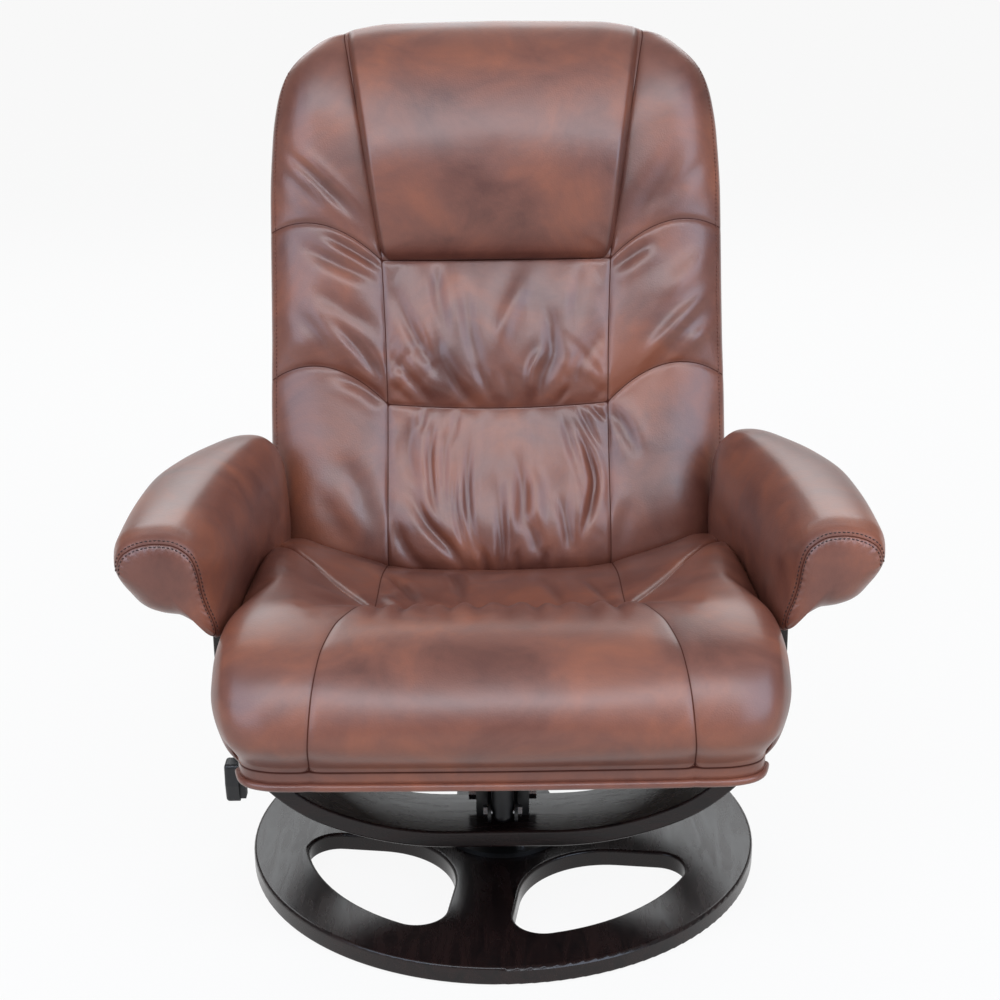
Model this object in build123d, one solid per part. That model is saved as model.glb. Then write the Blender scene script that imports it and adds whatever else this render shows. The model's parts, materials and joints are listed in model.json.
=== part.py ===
from build123d import *
import os
from math import atan2, cos, degrees, hypot, radians, sin, sqrt

os.makedirs("parts", exist_ok=True)

# Clearances
slip = 0.1
press = 0.05
lay = 0.2
slot_play = 0.75

# Round base
base_radius = 311.0
base_thickness = 22.0
base_round = 4.0
base_turn = -8.0
window_reach = 245.0
spoke_width = 78.0
window_inner_round = 107.0
window_outer_round = 35.0
glide_thickness = 3.0
glide_radius = 14.0
glide_ring = 285.0
hub_pad_radius = 40.0

# Swivel column
flange_radius = 75.0
flange_thickness = 6.0
column_radius = 30.0
column_wall = 4.0
column_height = 58.0
collar_thickness = 2.3
collar_radius = 36.0
spindle_radius = 20.0
screw_ring = 58.0
screw_radius = 3.0

# Bent hoops
hoop_bottom = 91.4
hoop_thickness = 20.5
hoop_depth = 95.0
hoop_big_radius = 360.0
hoop_big_turn = 24.6
hoop_small_radius = 190.0
hoop_top = 412.0
hoop_round = 3.0
front_hoop_y = -165.0
rear_hoop_y = 45.0
plate_thickness = 6.0
plate_half = 56.0

# Mechanism
bracket_half = 31.0
bracket_wall = 4.0
bracket_foot = 4.5
bracket_front = -126.0
bracket_rear = -84.0
bolt_radius = 4.0
pivot_y = -105.0
pivot_z = 220.0
pivot_radius = 14.0
pivot_wall = 3.0
bush_wall = 3.0
pivot_stub = 8.8
hinge_y = 152.0
hinge_z = 256.0
hinge_radius = 7.0
guide_arm = 50.0
guide_drop = 17.0
guide_radius = 6.0
hinge_plate = 5.0
hinge_gap = 2.0
hinge_bolt_head = 5.0
lever_y = -150.0
lever_z = 180.0
lever_shaft_radius = 6.0
handle_inset = 1.8
paddle_drop = 29.0
handle_width = 16.0
handle_boss = 12.0
handle_grip = 7.0
seat_tilt = 7.3
strut_foot_y = -150.0
strut_foot_z = 131.0
strut_head_y = -165.0
strut_head_z = 264.0
strut_radius = 13.0
strut_rod_radius = 5.0

# Seat
rail_inset = 38.0
rail_width = 25.0
rail_bottom = 238.0
rail_top = 283.0
rail_front = -290.0
rail_rear = 172.0
rail_step = 20.0
web_thickness = 2.0
web_width = 50.0
seat_half = 295.0
seat_side_gap = 5.3

# Back
crease_y = 100.0
crease_z = 337.0
back_lean = 21.0
cushion_depth = 60.0
cover_depth = 36.0
cover_wall = 6.0
cover_side_gap = 16.0
cover_low = 30.0
cover_low_inset = 9.0
cover_top = 694.0
cushion_overhang = 3.0
frame_tube = 11.0
frame_top = 640.0
frame_corner = 120.0
frame_foot = 10.0
frame_bar_radius = 8.0
tongue_reach = 85.0
back_web_width = 46.0

# Arms
core_bottom = 432.0
core_top = 472.0
core_front = -215.0
core_rear = 118.0
arm_plate = 4.0
arm_plate_width = 38.0
arm_plate_bottom = 335.0
arm_plate_top = 466.0
arm_bolt_radius = 3.5

# Derived levels
base_bottom = glide_thickness
base_top = base_bottom + base_thickness
column_top = base_top + column_height
hoop_upper = hoop_bottom + hoop_thickness
plate_bottom = hoop_bottom - plate_thickness
bracket_floor = hoop_upper + bracket_foot
web_top = rail_top + web_thickness
rail_outer = seat_half - rail_inset
rail_inner = rail_outer - rail_width
plate_in = rail_outer + hinge_gap
frame_half = plate_in - frame_tube
cover_half = plate_in + hinge_plate + hinge_bolt_head + cover_side_gap
back_half = cover_half + cushion_overhang
guide_y = hinge_y - guide_arm * cos(radians(guide_drop))
guide_z = hinge_z - guide_arm * sin(radians(guide_drop))
hoop_inner = seat_half + seat_side_gap
hoop_outer = hoop_inner + hoop_thickness
hoop_flat = (
    hoop_outer
    - hoop_big_radius * sin(radians(hoop_big_turn))
    - hoop_small_radius * (1 - sin(radians(hoop_big_turn)))
)
pivot_reach = hoop_outer - pivot_stub


def slab(x0, x1, y0, y1, z0, z1):
    middle = Pos((x0 + x1) / 2, (y0 + y1) / 2, (z0 + z1) / 2)
    return middle * Box(x1 - x0, y1 - y0, z1 - z0)


def rod_x(y, z, radius, x0, x1):
    return Pos((x0 + x1) / 2, y, z) * Rot(0, 90, 0) * Cylinder(radius, x1 - x0)


def rod_z(x, y, radius, z0, z1):
    return Pos(x, y, (z0 + z1) / 2) * Cylinder(radius, z1 - z0)


def hex_x(y, z, across, x0, x1):
    flat = Pos(y, z) * RegularPolygon(across / 2, 6, major_radius=False)
    return extrude(Plane.YZ.offset(x0) * flat, amount=x1 - x0)


def hex_z(x, y, across, z0, z1):
    flat = Pos(x, y) * RegularPolygon(across / 2, 6, major_radius=False)
    return extrude(Plane.XY.offset(z0) * flat, amount=z1 - z0)


def capsule(p, q, radius):
    length = hypot(q[0] - p[0], q[1] - p[1])
    angle = degrees(atan2(q[1] - p[1], q[0] - p[0]))
    bar = Rot(0, 0, angle) * Pos(length / 2, 0) * Rectangle(length, 2 * radius)
    ends = Circle(radius) + Rot(0, 0, angle) * Pos(length, 0) * Circle(radius)
    return Pos(p[0], p[1]) * (bar + ends)


def plate_x(flat, x0, x1):
    return extrude(Plane.YZ.offset(x0) * flat, amount=x1 - x0)


def flipped(shape):
    return mirror(shape, about=Plane.YZ)


def group(shapes):
    solids = []
    for shape in shapes:
        solids.extend(shape.solids())
    return Compound(solids)


# Base disc with four windows, turned as it stands
quarter = Circle(window_reach) & Pos(
    spoke_width / 2 + window_reach / 2, spoke_width / 2 + window_reach / 2
) * Rectangle(window_reach, window_reach)
corner_inner = quarter.vertices().sort_by_distance((0, 0, 0))[0]
quarter = fillet(corner_inner, window_inner_round)
corners_outer = [
    v for v in quarter.vertices() if hypot(v.X, v.Y) > window_reach - 1
]
quarter = fillet(corners_outer, window_outer_round)
window = extrude(Plane.XY * quarter, amount=base_top + 20)
base_disc = rod_z(0, 0, base_radius, base_bottom, base_top)
for k in range(4):
    base_disc -= Rot(0, 0, base_turn + 90 * k) * window
base_disc = fillet(
    base_disc.edges().filter_by_position(Axis.Z, base_top - 0.01, base_top + 0.01),
    base_round,
)
base_disc = fillet(
    base_disc.edges().filter_by_position(
        Axis.Z, base_bottom - 0.01, base_bottom + 0.01
    ),
    base_round / 2,
)
screw_spots = []
for k in range(6):
    a = radians(base_turn + 60 * k)
    screw_spots.append((screw_ring * cos(a), screw_ring * sin(a)))
screw_depth = 14.0
for x, y in screw_spots:
    base_disc -= rod_z(
        x, y, screw_radius + press, base_top - screw_depth - 1, base_top + 1
    )
export_step(base_disc, "parts/base_disc.step")

glides = [rod_z(0, 0, hub_pad_radius, 0, glide_thickness)]
for k in range(8):
    a = radians(base_turn + 45 * k)
    glides.append(
        rod_z(
            glide_ring * cos(a), glide_ring * sin(a), glide_radius, 0, glide_thickness
        )
    )
export_step(group(glides), "parts/base_glides.step")

# Swivel column, its bush and its screws
column = rod_z(0, 0, flange_radius, base_top, base_top + flange_thickness)
column += rod_z(0, 0, column_radius, base_top, column_top)
bore = column_radius - column_wall
column -= rod_z(0, 0, bore, base_top + flange_thickness, column_top + 1)
screws = []
for x, y in screw_spots:
    seat = base_top + flange_thickness
    column -= rod_z(x, y, screw_radius + press, base_top - 1, seat + 1)
    screw = rod_z(x, y, screw_radius, base_top - screw_depth, seat)
    screw += rod_z(x, y, 2 * screw_radius, seat, seat + 3.5)
    screws.append(screw)
export_step(column, "parts/swivel_column.step")
export_step(group(screws), "parts/column_screws.step")

bush = rod_z(0, 0, bore - press, column_top - 38, column_top)
bush += rod_z(0, 0, collar_radius, column_top, column_top + collar_thickness)
bush -= rod_z(0, 0, spindle_radius + slip, base_top, column_top + 10)
export_step(bush, "parts/swivel_bush.step")

# Turning plate and spindle
spindle = rod_z(0, 0, spindle_radius, base_top + flange_thickness + 6, plate_bottom)
export_step(spindle, "parts/swivel_spindle.step")
plate_front = front_hoop_y + 20
plate_back = rear_hoop_y + hoop_depth - 20
swivel_plate = slab(
    -plate_half, plate_half, plate_front, plate_back, plate_bottom, hoop_bottom
)
swivel_plate = fillet(swivel_plate.edges().filter_by(Axis.Z), 14)
hoop_bolt_spots = []
for y in (-112.0, -78.0, 66.0, 114.0):
    hoop_bolt_spots += [(-16.0, y), (16.0, y)]


# Bent hoop, flat at the middle and rising to both ends
def hoop_face():
    edges = []
    for rise in (0, hoop_thickness):
        start = (hoop_flat, hoop_bottom + rise)
        base = Line((0, hoop_bottom + rise), start)
        big = JernArc(start, (1, 0), hoop_big_radius - rise, hoop_big_turn)
        small = JernArc(
            big @ 1, big % 1, hoop_small_radius - rise, 90 - hoop_big_turn
        )
        tip = Line(small @ 1, ((small @ 1).X, hoop_top))
        edges.append([base, big, small, tip])
    cap = Line(edges[0][3] @ 1, edges[1][3] @ 1)
    middle = Line((0, hoop_bottom), (0, hoop_upper))
    return make_face(edges[0] + edges[1] + [cap, middle])


def hoop_solid(y0):
    half = extrude(
        Plane.XZ.offset(-y0) * hoop_face(), amount=-hoop_depth
    )
    whole = half + flipped(half)
    rims = whole.edges().filter_by_position(Axis.Y, y0 - 0.01, y0 + 0.01)
    rims += whole.edges().filter_by_position(
        Axis.Y, y0 + hoop_depth - 0.01, y0 + hoop_depth + 0.01
    )
    return fillet(rims, hoop_round)


front_hoop = hoop_solid(front_hoop_y)
rear_hoop = hoop_solid(rear_hoop_y)
front_hoop -= rod_x(pivot_y, pivot_z, pivot_radius + press, -400, 400)
front_hoop -= rod_x(lever_y, lever_z, lever_shaft_radius + slip, -400, 0)
rear_hoop -= rod_x(guide_y, guide_z, guide_radius + press, -400, 400)

# Bracket with the cheeks of the pivot tube and the ears of the strut
mech_bracket = slab(
    -bracket_half,
    bracket_half,
    bracket_front,
    rear_hoop_y + hoop_depth - 15,
    hoop_upper,
    bracket_floor,
)
cheek_top = pivot_z + pivot_radius + 6
for side in (-1, 1):
    x0 = side * bracket_half
    x1 = side * (bracket_half - bracket_wall)
    mech_bracket += slab(
        min(x0, x1), max(x0, x1), bracket_front, bracket_rear, bracket_floor, cheek_top
    )
    ear = capsule(
        (strut_foot_y, strut_foot_z), (bracket_front + 1, strut_foot_z), strut_radius
    )
    e0 = side * (strut_radius + 0.5)
    e1 = side * (strut_radius + 0.5 + bracket_wall)
    ear = plate_x(ear, min(e0, e1), max(e0, e1))
    mech_bracket += ear & slab(-60, 60, -300, bracket_front + 1, 0, 300)
web_high = pivot_z - pivot_radius - 10
mech_bracket += slab(
    -bracket_half,
    bracket_half,
    bracket_front,
    bracket_front + bracket_wall,
    bracket_floor,
    web_high,
)
mech_bracket -= rod_x(pivot_y, pivot_z, pivot_radius + press, -60, 60)
strut_bolt_radius = 5.0
mech_bracket -= rod_x(
    strut_foot_y, strut_foot_z, strut_bolt_radius + press, -22, 22
)
tie_y = -104.0
tie_z = 134.0
tie_radius = 6.0
mech_bracket -= rod_x(tie_y, tie_z, tie_radius + press, -60, 60)

# Bolts through plate, hoops and bracket
hoop_bolts = []
for x, y in hoop_bolt_spots:
    drill = rod_z(x, y, bolt_radius + press, plate_bottom - 1, bracket_floor + 1)
    swivel_plate -= drill
    front_hoop -= drill
    rear_hoop -= drill
    mech_bracket -= drill
    bolt = rod_z(x, y, bolt_radius, plate_bottom, bracket_floor)
    bolt += hex_z(x, y, 13, plate_bottom - 5.5, plate_bottom)
    bolt += hex_z(x, y, 13, bracket_floor, bracket_floor + 6.5)
    hoop_bolts.append(bolt)
export_step(swivel_plate, "parts/swivel_plate.step")
export_step(mech_bracket, "parts/mech_bracket.step")
export_step(group(hoop_bolts), "parts/hoop_bolts.step")

tie = rod_x(tie_y, tie_z, tie_radius, -bracket_half, bracket_half)
tie += hex_x(tie_y, tie_z, 19, -bracket_half - 9, -bracket_half)
tie += hex_x(tie_y, tie_z, 19, bracket_half, bracket_half + 9)
export_step(tie, "parts/bracket_bolt.step")

strut_edge = strut_radius + 0.5 + bracket_wall
strut_bolt = rod_x(
    strut_foot_y, strut_foot_z, strut_bolt_radius, -strut_edge, strut_edge
)
strut_bolt += hex_x(strut_foot_y, strut_foot_z, 13, -strut_edge - 5, -strut_edge)
strut_bolt += hex_x(strut_foot_y, strut_foot_z, 13, strut_edge, strut_edge + 5)
export_step(strut_bolt, "parts/strut_bolt.step")

# Pivot tube of the seat and its caps
pivot_tube = rod_x(pivot_y, pivot_z, pivot_radius, -pivot_reach, pivot_reach)
pivot_tube -= rod_x(pivot_y, pivot_z, pivot_radius - pivot_wall, -400, 400)
export_step(pivot_tube, "parts/pivot_tube.step")
cap = rod_x(pivot_y, pivot_z, pivot_radius + 2.5, pivot_reach, pivot_reach + 4.5)
cap = fillet(cap.edges().group_by(Axis.X)[-1], 3)
cap += rod_x(
    pivot_y,
    pivot_z,
    pivot_radius - pivot_wall - press,
    pivot_reach - 14,
    pivot_reach + 1,
)
export_step(group([cap, flipped(cap)]), "parts/pivot_caps.step")

# Guide pins of the back in the rear hoop
pin = rod_x(guide_y, guide_z, guide_radius, rail_outer + 1, hoop_outer)
collar_x = plate_in + hinge_plate + 1.2
pin += rod_x(guide_y, guide_z, guide_radius + 3, collar_x, collar_x + 3)
export_step(group([pin, flipped(pin)]), "parts/guide_pins.step")

# Arm brackets, boards and bolts on the +X side
bracket_mid = []
for y0 in (front_hoop_y, rear_hoop_y):
    bracket_mid.append(y0 + hoop_depth / 2)
arm_face = hoop_outer
arm_core = slab(hoop_inner, arm_face, core_front, core_rear, core_bottom, core_top)
arm_plates = []
arm_bolts = []
hoops = [front_hoop, rear_hoop]
for k, y in enumerate(bracket_mid):
    strap = slab(
        arm_face,
        arm_face + arm_plate,
        y - arm_plate_width / 2,
        y + arm_plate_width / 2,
        arm_plate_bottom,
        arm_plate_top,
    )
    strap = fillet(strap.edges().filter_by(Axis.X), 8)
    for z in (arm_plate_bottom + 17, arm_plate_bottom + 52, arm_plate_top - 16):
        x_head = arm_face + arm_plate
        shank = rod_x(y, z, arm_bolt_radius, x_head - 18, x_head)
        hole = rod_x(y, z, arm_bolt_radius + press, x_head - 18.5, x_head + 1)
        head = rod_x(y, z, arm_bolt_radius * 1.9, x_head, x_head + 3.6)
        head = fillet(head.edges().group_by(Axis.X)[-1], 2)
        strap -= hole
        arm_core -= hole
        hoops[k] -= hole
        hoops[k] -= flipped(hole)
        arm_bolts.append(shank + head)
    arm_plates.append(strap)
front_hoop, rear_hoop = hoops
export_step(front_hoop, "parts/front_hoop.step")
export_step(rear_hoop, "parts/rear_hoop.step")
both_bolts = arm_bolts + [flipped(b) for b in arm_bolts]
export_step(group(both_bolts), "parts/arm_bolts.step")
export_step(arm_core, "parts/arm_core_left.step")
export_step(flipped(arm_core), "parts/arm_core_right.step")
export_step(group(arm_plates), "parts/arm_brackets_left.step")
export_step(
    group([flipped(p) for p in arm_plates]), "parts/arm_brackets_right.step"
)


# Padded arm, sections from front to rear: y, bottom, crown,
# and how far its two sides lie from the inner face of the hoops
arm_sections = [
    (-271, 433, 499, 3.7, 92.7),
    (-262, 418, 513, -4.3, 103.7),
    (-230, 413, 520, -8.3, 109.7),
    (-150, 414, 520, -14.3, 109.7),
    (-60, 414, 518, -22.3, 101.7),
    (20, 414, 516, -29.3, 80.7),
    (80, 416, 514, -33.3, 53.7),
    (118, 424, 505, -27.3, 37.7),
    (140, 438, 487, -12.3, 23.7),
]


def arm_face_at(y, bottom, crown, inward, outward):
    inner = hoop_inner + inward
    outer = hoop_inner + outward
    width = outer - inner
    tall = crown - bottom
    low_in = (inner, bottom)
    low_out = (inner + 0.82 * width, bottom + 0.22 * tall)
    high_out = (outer - 0.06 * width, bottom + 0.78 * tall)
    high_in = (inner + 0.02 * width, bottom + 0.72 * tall)
    edges = [
        Line(low_in, low_out),
        ThreePointArc(low_out, (outer, bottom + 0.5 * tall), high_out),
        ThreePointArc(high_out, (inner + 0.5 * width, crown), high_in),
        Line(high_in, low_in),
    ]
    return Plane.XZ.offset(-y) * make_face(edges)


arm_pad = loft([arm_face_at(*s) for s in arm_sections])
arm_pad -= arm_core
for piece in arm_plates + arm_bolts:
    arm_pad -= piece
arm_pad = arm_pad.solids().sort_by(SortBy.VOLUME)[-1]
export_step(arm_pad, "parts/arm_pad_left.step")
export_step(flipped(arm_pad), "parts/arm_pad_right.step")

# Seat frame
rail = slab(rail_inner, rail_outer, rail_front, rail_rear, rail_bottom, rail_top)
rail -= slab(
    rail_inner - 1, rail_outer + 1, -400, -165, rail_bottom - 1, rail_bottom + rail_step
)
rail = fillet(rail.edges().filter_by(Axis.X), 8)
rail -= rod_x(hinge_y, hinge_z, hinge_radius + press, rail_inner - 1, rail_outer + 1)
export_step(rail, "parts/seat_rail_left.step")
export_step(flipped(rail), "parts/seat_rail_right.step")
front_rail = slab(
    -rail_inner, rail_inner, rail_front + 8, rail_front + 33, rail_top - 25, rail_top
)
export_step(front_rail, "parts/seat_front_rail.step")
mid_rail_rear = strut_head_y - 20
mid_rail = slab(
    -rail_inner, rail_inner, mid_rail_rear - 25, mid_rail_rear, rail_top - 25, rail_top
)
export_step(mid_rail, "parts/seat_mid_rail.step")
rear_rail = slab(-rail_inner, rail_inner, 110, 136, rail_top - 30, rail_top)
export_step(rear_rail, "parts/seat_rear_rail.step")

bush_radius = pivot_radius + bush_wall
lug = capsule((pivot_y, pivot_z), (pivot_y, pivot_z + 1), bush_radius + 6)
lug += Pos(pivot_y, pivot_z + 9) * Rectangle(2 * bush_radius + 12, 18)
lug = plate_x(lug, rail_inner + 2, rail_outer - 2)
lug &= slab(0, 400, pivot_y - 60, pivot_y + 60, 100, rail_bottom)
lug -= rod_x(pivot_y, pivot_z, bush_radius + press, 0, 400)
rail_bush = rod_x(pivot_y, pivot_z, bush_radius, rail_inner + 2, rail_outer - 2)
rail_bush -= rod_x(pivot_y, pivot_z, pivot_radius + slip, 0, 400)
cut_bush = rail_bush & slab(0, 400, -400, 400, 100, rail_bottom)
export_step(lug, "parts/pivot_lug_left.step")
export_step(flipped(lug), "parts/pivot_lug_right.step")
export_step(group([cut_bush, flipped(cut_bush)]), "parts/pivot_bushes.step")

straps = []
for y in (-275.0, -195.0, -115.0, -35.0, 45.0):
    straps.append(
        slab(
            -rail_outer + 5,
            rail_outer - 5,
            y - web_width / 2,
            y + web_width / 2,
            rail_top,
            web_top,
        )
    )
export_step(group(straps), "parts/seat_webbing.step")

# Slotted plate that the clamp holds, on the -X rail
slot_reach = hypot(lever_y - pivot_y, lever_z - pivot_z)
slot_start = degrees(atan2(lever_z - pivot_z, lever_y - pivot_y))
lock = capsule((pivot_y, pivot_z + 30), (lever_y + 4, lever_z + 1), 17)
lock += Pos(pivot_y - 20, rail_bottom + 12) * Rectangle(64, 44)
slot_half = lever_shaft_radius + 0.3
slot = None
for k in range(5):
    a = radians(slot_start - 0.5 + (seat_tilt + 1.0) * k / 4)
    spot = Pos(pivot_y + slot_reach * cos(a), pivot_z + slot_reach * sin(a))
    hole = spot * Circle(slot_half)
    slot = hole if slot is None else slot + hole
lock -= slot
lock -= Pos(pivot_y, pivot_z) * Circle(pivot_radius + 2)
lock_plate = plate_x(lock, -rail_inner, -rail_inner + 4)
lock_plate = lock_plate.solids().sort_by(SortBy.VOLUME)[-1]
export_step(lock_plate, "parts/lock_quadrant.step")

# Clevis of the strut under the seat
clevis = slab(-20, 20, mid_rail_rear, mid_rail_rear + 4, rail_top - 25, rail_top)
for side in (-1, 1):
    ear = capsule(
        (strut_head_y, strut_head_z), (mid_rail_rear + 1, strut_head_z + 6), 9
    )
    x0 = min(side * 8.5, side * 12.5)
    clevis += plate_x(ear, x0, x0 + 4)
clevis &= slab(-30, 30, mid_rail_rear, 0, 0, rail_top)
clevis += rod_x(strut_head_y, strut_head_z, 4, -13.5, 13.5)
export_step(clevis, "parts/strut_clevis.step")

hinge_pin = rod_x(hinge_y, hinge_z, hinge_radius, rail_inner - 4, rail_outer + 8)
head_x = plate_in + hinge_plate + 0.3
hinge_pin += rod_x(hinge_y, hinge_z, hinge_radius + 4, head_x, head_x + 4)
hinge_pin += rod_x(
    hinge_y, hinge_z, hinge_radius + 4, rail_inner - 4, rail_inner
)
export_step(group([hinge_pin, flipped(hinge_pin)]), "parts/back_hinge_pins.step")


# Seat cushion, sections across the chair that close in toward the rear
# x, front pull-in, crown, cross-seam height, rear height, rear y
seat_sections = [
    (0, 0, 437, 391, 338, 90),
    (55, 0, 437, 392, 339, 90),
    (110, 1, 436, 394, 341, 90),
    (152, 6, 430, 394, 347, 90),
    (190, 3, 435, 402, 360, 89),
    (seat_half - 62, 3, 438, 407, 372, 88),
    (seat_half - 32, 9, 430, 404, 377, 84),
    (seat_half - 11, 22, 417, 400, 371, 79),
    (seat_half, 42, 395, 383, 354, 70),
]
seat_under = web_top + lay
band_y = -376.0
band_top = seat_under + 15
bulge_y = -410.0
shoulder_y = -384.0
crown_y = -300.0
crown_z = 436.0
cross_y = -172.0
wide_y = -366.0
seat_taper = 0.05


def seat_face_at(x, pull, crown, cross, rear, rear_y):
    drop = crown_z - crown
    low = (band_y + pull, seat_under)
    band = (band_y + pull, band_top)
    bulge = (bulge_y + pull, 352 - 0.35 * drop)
    shoulder = (shoulder_y + pull, 405 - 0.8 * drop)
    top = (crown_y, crown)
    seam = (cross_y, cross)
    back = (rear_y, rear)
    mid = ((cross_y + rear_y) / 2, (cross + rear) / 2 + 9)
    edges = [
        Line((rear_y, seat_under), low),
        Line(low, band),
        ThreePointArc(band, bulge, shoulder),
        ThreePointArc(shoulder, top, seam),
        ThreePointArc(seam, mid, back),
        Line(back, (rear_y, seat_under)),
    ]
    slope = seat_taper * x / seat_half
    reach = sqrt(1 + slope * slope)
    across = Plane(
        origin=(x + slope * wide_y, 0, 0),
        x_dir=(-slope / reach, 1 / reach, 0),
        z_dir=(1 / reach, slope / reach, 0),
    )
    return across * make_face(edges)


seat_faces = []
for s in reversed(seat_sections[1:]):
    seat_faces.append(seat_face_at(-s[0], *s[1:]))
for s in seat_sections:
    seat_faces.append(seat_face_at(*s))
seat_cushion = loft(seat_faces)
export_step(seat_cushion, "parts/seat_cushion.step")

# Back: local frame on the front plane, local y rearward, local z up the back
lean = radians(back_lean)
back_plane = Plane(
    origin=(0, crease_y, crease_z), x_dir=(1, 0, 0), z_dir=(0, sin(lean), cos(lean))
)


def back_point(up, out):
    y = crease_y + up * sin(lean) - out * cos(lean)
    z = crease_z + up * cos(lean) + out * sin(lean)
    return (y, z)


# Height, inset of the side, seam x, seam depth, centre crown, wing crown, edge depth
back_sections = [
    (-30, 22, 139, -26, -18, -20, -36),
    (15, 10, 139, -5, 8, 4, -28),
    (105, 3, 139, 0, 24, 16, -22),
    (208, 1, 139, -3, 5, 8, -20),
    (300, 0, 139, 0, 22, 18, -20),
    (392, 0, 141, -8, -6.3, 9, -20),
    (470, 0, 154, -8, -6, 17, -20),
    (560, 4, 168, -8, -6, 15, -20),
    (615, 13, 178, -8, -6, 10, -22),
    (652, 32, 184, -9, -7, 3, -25),
    (677, 60, 180, -13, -11, -8, -29),
    (696, 112, 140, -24, -20, -25, -35),
]


def back_face_at(up, inset, seam, dip, crown, wing, edge):
    rear = cushion_depth
    half = back_half - inset
    side = half - 7
    front = half - 3
    seam_at = (seam, -dip)
    corner = (front, -edge)
    wing_at = ((seam + front) / 2 + 6, -wing)
    right = [
        ThreePointArc((side, rear), (half, (rear - edge) / 2), corner),
        ThreePointArc(corner, wing_at, seam_at),
    ]
    left = [
        ThreePointArc((-seam, -dip), (-wing_at[0], -wing), (-front, -edge)),
        ThreePointArc((-front, -edge), (-half, (rear - edge) / 2), (-side, rear)),
    ]
    centre = ThreePointArc(seam_at, (0, -crown), (-seam, -dip))
    bottom = Line((-side, rear), (side, rear))
    return back_plane.offset(up) * make_face([bottom] + right + [centre] + left)


back_cushion = loft([back_face_at(*s) for s in back_sections])
export_step(back_cushion, "parts/back_cushion.step")

# Headrest pillow: height, half width, front of its sides, crown
pillow_rear = 14.0
pillow_sections = [
    (398, 132, 3.4, 9),
    (412, 139, 1.4, 28),
    (460, 147, -0.6, 44),
    (540, 160, -0.6, 48),
    (610, 170, -0.6, 40),
    (652, 176, 0.4, 24),
    (676, 172, 2.4, 9),
]


def pillow_face_at(up, half, side, crown):
    edges = [
        Line((-half, pillow_rear), (half, pillow_rear)),
        Line((half, pillow_rear), (half, side)),
        ThreePointArc((half, side), (0, -crown), (-half, side)),
        Line((-half, side), (-half, pillow_rear)),
    ]
    return back_plane.offset(up) * make_face(edges)


# The pillow lies on the cushion, so its rear takes the cushion's shape
pillow = loft([pillow_face_at(*s) for s in pillow_sections]) - back_cushion
pillow = pillow.solids().sort_by(SortBy.VOLUME)[-1]
export_step(pillow, "parts/headrest_pillow.step")

# Upright plane behind the cushion, local x across and local y up the back
cover_front = cushion_depth + lay
flat_plane = Plane(
    origin=(0, crease_y, crease_z), x_dir=(1, 0, 0), z_dir=(0, -cos(lean), sin(lean))
)


def cover_face(inset, low):
    wide = cover_half - inset
    top = cover_top - inset
    waist = (wide, cover_top - 574)
    turn = (wide, cover_top - 170)
    shoulder = (wide - 23, cover_top - 68 - inset / 2)
    crest = (cover_half - 120, top - 12)
    right = [
        Line((0, low), (wide - cover_low_inset, low)),
        Line((wide - cover_low_inset, low), waist),
        Line(waist, turn),
        ThreePointArc(turn, shoulder, crest),
        ThreePointArc(crest, ((cover_half - 120) / 2, top - 3), (0, top)),
    ]
    left = [mirror(e, about=Plane.YZ) for e in right]
    return make_face(right + left)


back_cover = extrude(
    flat_plane.offset(-cover_front) * cover_face(0, -cover_low), amount=-cover_depth
)
rear_rim = back_cover.edges().group_by(
    Axis((0, crease_y, crease_z), (0, cos(lean), -sin(lean)))
)[-1]
back_cover = fillet(rear_rim, 14)
back_cover -= extrude(
    flat_plane.offset(-cover_front + 1) * cover_face(cover_wall, -cover_low - 1),
    amount=-(cover_depth + 1 - cover_wall),
)
export_step(back_cover, "parts/back_cover.step")

# Tube frame inside the cover, with two cross bars
web_gap = lay + web_thickness + lay
tube_out = -(cushion_depth + web_gap + frame_tube)
tube_plane = flat_plane.offset(tube_out)
path = Wire(
    [
        Line((frame_half, -frame_foot), (frame_half, frame_top - frame_corner)),
        CenterArc((frame_half - frame_corner, frame_top - frame_corner), frame_corner, 0, 90),
        Line((frame_half - frame_corner, frame_top), (frame_corner - frame_half, frame_top)),
        CenterArc((frame_corner - frame_half, frame_top - frame_corner), frame_corner, 90, 90),
        Line((-frame_half, frame_top - frame_corner), (-frame_half, -frame_foot)),
    ]
)
path = tube_plane * path
end_plane = Plane(origin=path @ 0, z_dir=path % 0)
back_frame = sweep(end_plane * Circle(frame_tube), path=path)
for up in (150.0, 440.0):
    y, z = back_point(up, tube_out)
    back_frame += rod_x(y, z, frame_bar_radius, -frame_half, frame_half)

# Hinge plates with their guide slots, and their bolts
tongue = back_point(tongue_reach, tube_out)
slot_a = guide_arm - 1.6
slot_b = guide_arm + 4.2
lean_in = radians(180 + guide_drop)


def arm_at(reach):
    return (hinge_y + reach * cos(lean_in), hinge_z + reach * sin(lean_in))


flat = capsule((hinge_y, hinge_z), tongue, 12.8)
flat += Pos(hinge_y, hinge_z) * Circle(20)
flat += capsule((hinge_y, hinge_z), arm_at(slot_b), 14.5)
flat -= Pos(hinge_y, hinge_z) * Circle(hinge_radius + slip)
flat -= capsule(arm_at(slot_a), arm_at(slot_b), guide_radius + slot_play)
hinge_side = plate_x(flat, plate_in, plate_in + hinge_plate)
hinge_bolts = []
for up in (20.0, 70.0):
    y, z = back_point(up, tube_out)
    x1 = plate_in + hinge_plate
    drill = rod_x(y, z, bolt_radius + press, x1 - 14.5, x1 + 1)
    hinge_side -= drill
    back_frame -= drill
    back_frame -= flipped(drill)
    head = rod_x(y, z, bolt_radius, x1 - 14, x1) + hex_x(y, z, 13, x1, x1 + hinge_bolt_head)
    hinge_bolts += [head, flipped(head)]
export_step(back_frame, "parts/back_frame.step")
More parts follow.
